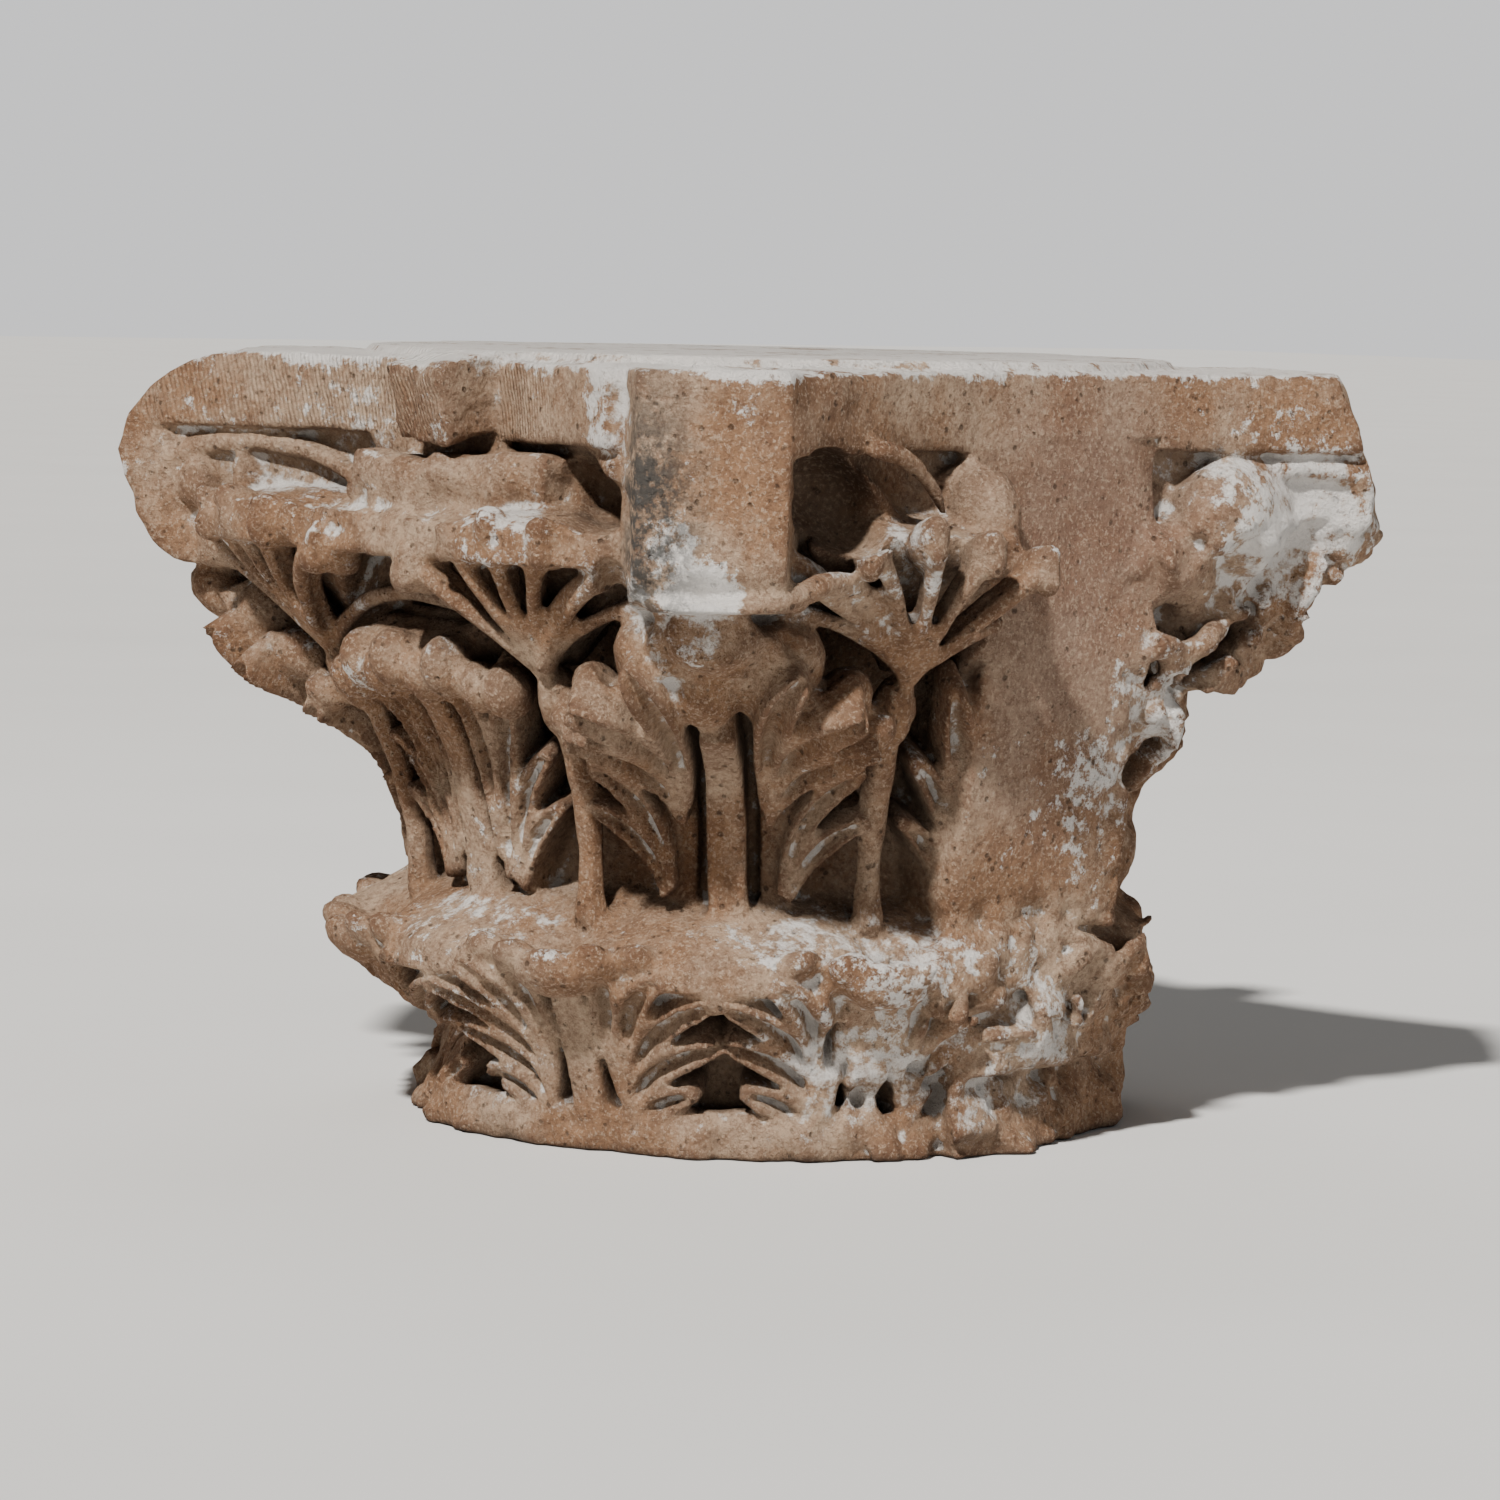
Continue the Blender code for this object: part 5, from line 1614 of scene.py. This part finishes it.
    def build(self) -> bpy.types.Material:
        """Returns the material."""
        material = bpy.data.materials.new("weathered_marble")
        material.use_nodes = True
        nodes = Nodes(material.node_tree)
        shader = material.node_tree.nodes["Principled BSDF"]
        shader.inputs["Roughness"].default_value = self.roughness
        shader.inputs["Specular IOR Level"].default_value = 0.2
        place = nodes.add("ShaderNodeTexCoord").outputs["Object"]
        surface = nodes.add("ShaderNodeNewGeometry")
        group = StoneGroups.grain()
        grain = nodes.add("ShaderNodeGroup", _node_tree=group, Place=place, Scale=self.grain_scale)
        edge = nodes.spread(surface.outputs["Pointiness"], *self.edge_range)
        recess = nodes.spread(surface.outputs["Pointiness"], *self.recess_range)
        # Ambient occlusion that drives the painted shade in sheltered places.
        shelter = nodes.add("ShaderNodeAmbientOcclusion", _samples=2, Distance=self.shelter_reach)
        dirt = nodes.spread(shelter.outputs["AO"], *self.dirt_range)
        up = nodes.add("ShaderNodeSeparateXYZ", Vector=surface.outputs["Normal"]).outputs["Z"]
        where = nodes.add("ShaderNodeSeparateXYZ", Vector=place)
        ledge = nodes.spread(up, *self.ledge_range)
        patch = nodes.spread(where.outputs["Z"], *self.top_range)
        for centre, reach, strength in self.patches:
            share = nodes.maths("MULTIPLY", self.near(nodes, place, centre, reach), strength)
            patch = nodes.maths("ADD", patch, share)
        patch = nodes.maths("SUBTRACT", patch, nodes.maths("MULTIPLY", dirt, 1.5))
        group = StoneGroups.deposit()
        masks = {"Edge": edge, "Ledge": ledge, "Patch": patch}
        lime = nodes.add("ShaderNodeGroup", _node_tree=group, Place=place, **masks)
        colour = self.tone(nodes, place, edge, recess, dirt, grain)
        colour = nodes.cover(lime.outputs["Mask"], 0.88, colour, self.colours.lime)
        flat = nodes.add("ShaderNodeVectorMath", _operation="MULTIPLY", at0=place, at1=(1.0, 1.0, 0.5))
        x, y, z = self.stain_centre
        stain = self.near(nodes, flat.outputs[0], (x, y, 0.5 * z), self.stain_reach)
        streak = nodes.spread(nodes.lumps(place, 75.0, 7.0, 0.75), 0.37, 0.56)
        stain = nodes.maths("MULTIPLY", nodes.maths("MULTIPLY", stain, streak), 0.92)
        colour = nodes.blend(stain, colour, self.colours.soot)
        material.node_tree.links.new(colour, shader.inputs["Base Color"])
        material.node_tree.links.new(self.relief(nodes, place, where, grain), shader.inputs["Normal"])
        return material

    def relief(self, nodes: Nodes, place, where: bpy.types.Node, grain: bpy.types.Node):
        """Returns the normal of the worn, grained and tooled surface.

        Args:
            nodes: The tree's nodes.
            place: The point on the stone.
            where: The point's coordinates, one by one.
            grain: The grain group.

        Returns:
            The normal.
        """
        tooling = nodes.add(
            "ShaderNodeGroup", _node_tree=StoneGroups.stroke(), Place=place, Pitch=self.chisel_pitch
        ).outputs["Height"]
        abacus = nodes.spread(where.outputs["Z"], 0.470, 0.478)
        left = nodes.spread(where.outputs["X"], 0.16, 0.10)
        tooling = nodes.maths("MULTIPLY", tooling, nodes.maths("MULTIPLY", abacus, left))
        pitted = nodes.lumps(place, 75.0, 9.0, 0.70)
        worn = nodes.add("ShaderNodeBump", Strength=0.9, Distance=0.009, Height=pitted).outputs[0]
        height = nodes.maths("ADD", grain.outputs["Height"], nodes.maths("MULTIPLY", tooling, 0.5))
        fine = nodes.add("ShaderNodeBump", Strength=0.95, Distance=0.0030, Height=height, Normal=worn)
        return fine.outputs[0]

    @staticmethod
    def near(nodes: Nodes, place, centre: tuple, reach: float):
        """Returns a soft mask round a point."""
        gap = nodes.add("ShaderNodeVectorMath", _operation="DISTANCE", at0=place, at1=centre)
        return nodes.spread(gap.outputs["Value"], reach, 0.25 * reach)


@dataclass(frozen=True)
class FloorFinish:
    """Plain pale studio floor with a faint mottle."""

    colour: tuple = (0.72, 0.71, 0.69, 1)
    shade: tuple = (0.66, 0.65, 0.63, 1)
    roughness: float = 0.7

    def build(self) -> bpy.types.Material:
        """Returns the material."""
        material = bpy.data.materials.new("studio_floor")
        material.use_nodes = True
        nodes = Nodes(material.node_tree)
        shader = material.node_tree.nodes["Principled BSDF"]
        shader.inputs["Roughness"].default_value = self.roughness
        place = nodes.add("ShaderNodeTexCoord").outputs["Object"]
        colour = nodes.blend(nodes.lumps(place, 2.0, 3.0, 0.5), self.colour, self.shade)
        material.node_tree.links.new(colour, shader.inputs["Base Color"])
        return material


@dataclass
class Studio:
    """The floor, the lights and the camera at the photograph's viewing angle.

    Attributes:
        azimuth: Degrees that the view is turned from the middle of the boss's face.
        elevation: Degrees that it looks down.
        distance: Distance of the camera from the target.
        lens: Focal length in millimetres.
        sensor: Width of the sensor in millimetres.
        roll: Degrees that the camera is tipped.
        target: Point that the camera looks at before it moves aside.
        aside: How far it moves to the right.
        above: How far it moves up.
        floor_size: Width of the floor.
        sky_light: How bright the surroundings are on the stone.
        sky_seen: How bright they look.
        key: Degrees to the left of the camera, degrees of height, strength and spread of the main light.
        lamps: Name, place to the right, up and back, size, power and colour of each small light.
    """

    azimuth: float = 50.0
    elevation: float = 5.0
    distance: float = 3.85
    lens: float = 132.0
    sensor: float = 36.0
    roll: float = 1.3
    target: tuple = (0.0, 0.0, 0.27)
    aside: float = -0.0084
    above: float = -0.0182
    floor_size: float = 60.0
    sky_light: float = 0.09
    sky_seen: float = 1.05
    key: tuple = (22.0, 46.0, 6.6, 3.5)
    lamps: tuple = (
        ("fill", (2.4, 0.6, 2.2), 1.6, 14.0, (0.93, 0.96, 1.0)),
        ("rim", (-0.3, 2.6, -1.6), 1.2, 14.0, (1.0, 0.98, 0.95)),
    )

    def axes(self) -> tuple:
        """Returns the view's right, up and back directions before its roll."""
        turn, rise = math.radians(self.azimuth), math.radians(self.elevation)
        right = Vector((math.cos(turn), math.sin(turn), 0))
        back = Vector((math.sin(turn) * math.cos(rise), -math.cos(turn) * math.cos(rise), math.sin(rise)))
        return right, back.cross(right), back

    def camera(self) -> None:
        """Adds the camera and makes it the scene's."""
        right, up, back = self.axes()
        roll = math.radians(self.roll)
        level = right
        right = level * math.cos(roll) + up * math.sin(roll)
        up = up * math.cos(roll) - level * math.sin(roll)
        centre = Vector(self.target) + right * self.aside + up * self.above
        matrix = Matrix((right, up, back)).transposed().to_4x4()
        matrix.translation = centre + back * self.distance
        data = bpy.data.cameras.new("camera")
        data.lens = self.lens
        data.sensor_width = self.sensor
        data.clip_end = 50
        camera = bpy.data.objects.new("camera", data)
        camera.matrix_world = matrix
        bpy.context.scene.collection.objects.link(camera)
        bpy.context.scene.camera = camera

    def floor(self) -> bpy.types.Object:
        """Adds the flat floor."""
        shape = bmesh.new()
        half = self.floor_size / 2
        bmesh.ops.create_grid(shape, x_segments=1, y_segments=1, size=half)
        mesh = bpy.data.meshes.new("floor")
        shape.to_mesh(mesh)
        shape.free()
        floor = bpy.data.objects.new("floor", mesh)
        floor.location.z = -0.0005
        bpy.context.scene.collection.objects.link(floor)
        floor.data.materials.append(FloorFinish().build())
        return floor

    def light(self, name: str, place: Vector, size: float, power: float, colour: tuple) -> None:
        """Adds a square light that looks at the block."""
        data = bpy.data.lights.new(name, "AREA")
        data.shape = "SQUARE"
        data.size = size
        data.energy = power
        data.color = colour
        self.hang(name, data, place)

    def sun(self, name: str, aside: float, rise: float, strength: float, spread: float) -> None:
        """Adds an even light from far off.

        Args:
            name: Its name.
            aside: Degrees to the left of the camera.
            rise: Degrees above the horizon.
            strength: How strong it is.
            spread: Its width in the sky in degrees.
        """
        data = bpy.data.lights.new(name, "SUN")
        data.energy = strength
        data.angle = math.radians(spread)
        data.color = (1.0, 0.975, 0.94)
        turn, high = math.radians(self.azimuth - aside), math.radians(rise)
        way = Vector((math.sin(turn) * math.cos(high), -math.cos(turn) * math.cos(high), math.sin(high)))
        self.hang(name, data, Vector(self.target) + way * 4)

    def hang(self, name: str, data: bpy.types.Light, place: Vector) -> None:
        """Puts a light in its place, looking at the block."""
        lamp = bpy.data.objects.new(name, data)
        lamp.location = place
        lamp.rotation_euler = (Vector(self.target) - place).to_track_quat("-Z", "Y").to_euler()
        bpy.context.scene.collection.objects.link(lamp)

    def sky(self) -> None:
        """Adds the pale surroundings, brighter to the camera than on the stone."""
        world = bpy.data.worlds.new("studio")
        world.use_nodes = True
        nodes = Nodes(world.node_tree)
        background = world.node_tree.nodes["Background"]
        background.inputs["Color"].default_value = (0.86, 0.86, 0.87, 1)
        seen = nodes.add("ShaderNodeLightPath").outputs["Is Camera Ray"]
        strength = nodes.spread(seen, 0.0, 1.0, self.sky_light, self.sky_seen)
        world.node_tree.links.new(strength, background.inputs["Strength"])
        bpy.context.scene.world = world

    def build(self) -> list:
        """Adds the floor, lights, world and camera, and returns what stands on the stage."""
        right, up, back = self.axes()
        middle = Vector(self.target)
        self.sun("key", *self.key)
        for name, (aside, above, behind), size, power, colour in self.lamps:
            place = middle + right * aside + up * above + back * behind
            self.light(name, place, size, power, colour)
        self.sky()
        self.camera()
        return [self.floor()]


def main() -> None:
    """Builds the block, dresses it and sets the stage."""
    logging.basicConfig(level=logging.INFO, format="%(message)s")
    piece = CapitalPiece().build()
    piece.data.materials.clear()
    piece.data.materials.append(MarbleFinish().build())
    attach(piece, "root")
    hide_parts(NODE)
    log.info("%s stands for node %s", piece.name, NODE)
    for item in Studio().build():
        log.info("%s on the stage", item.name)


if __name__ == "__main__":
    main()
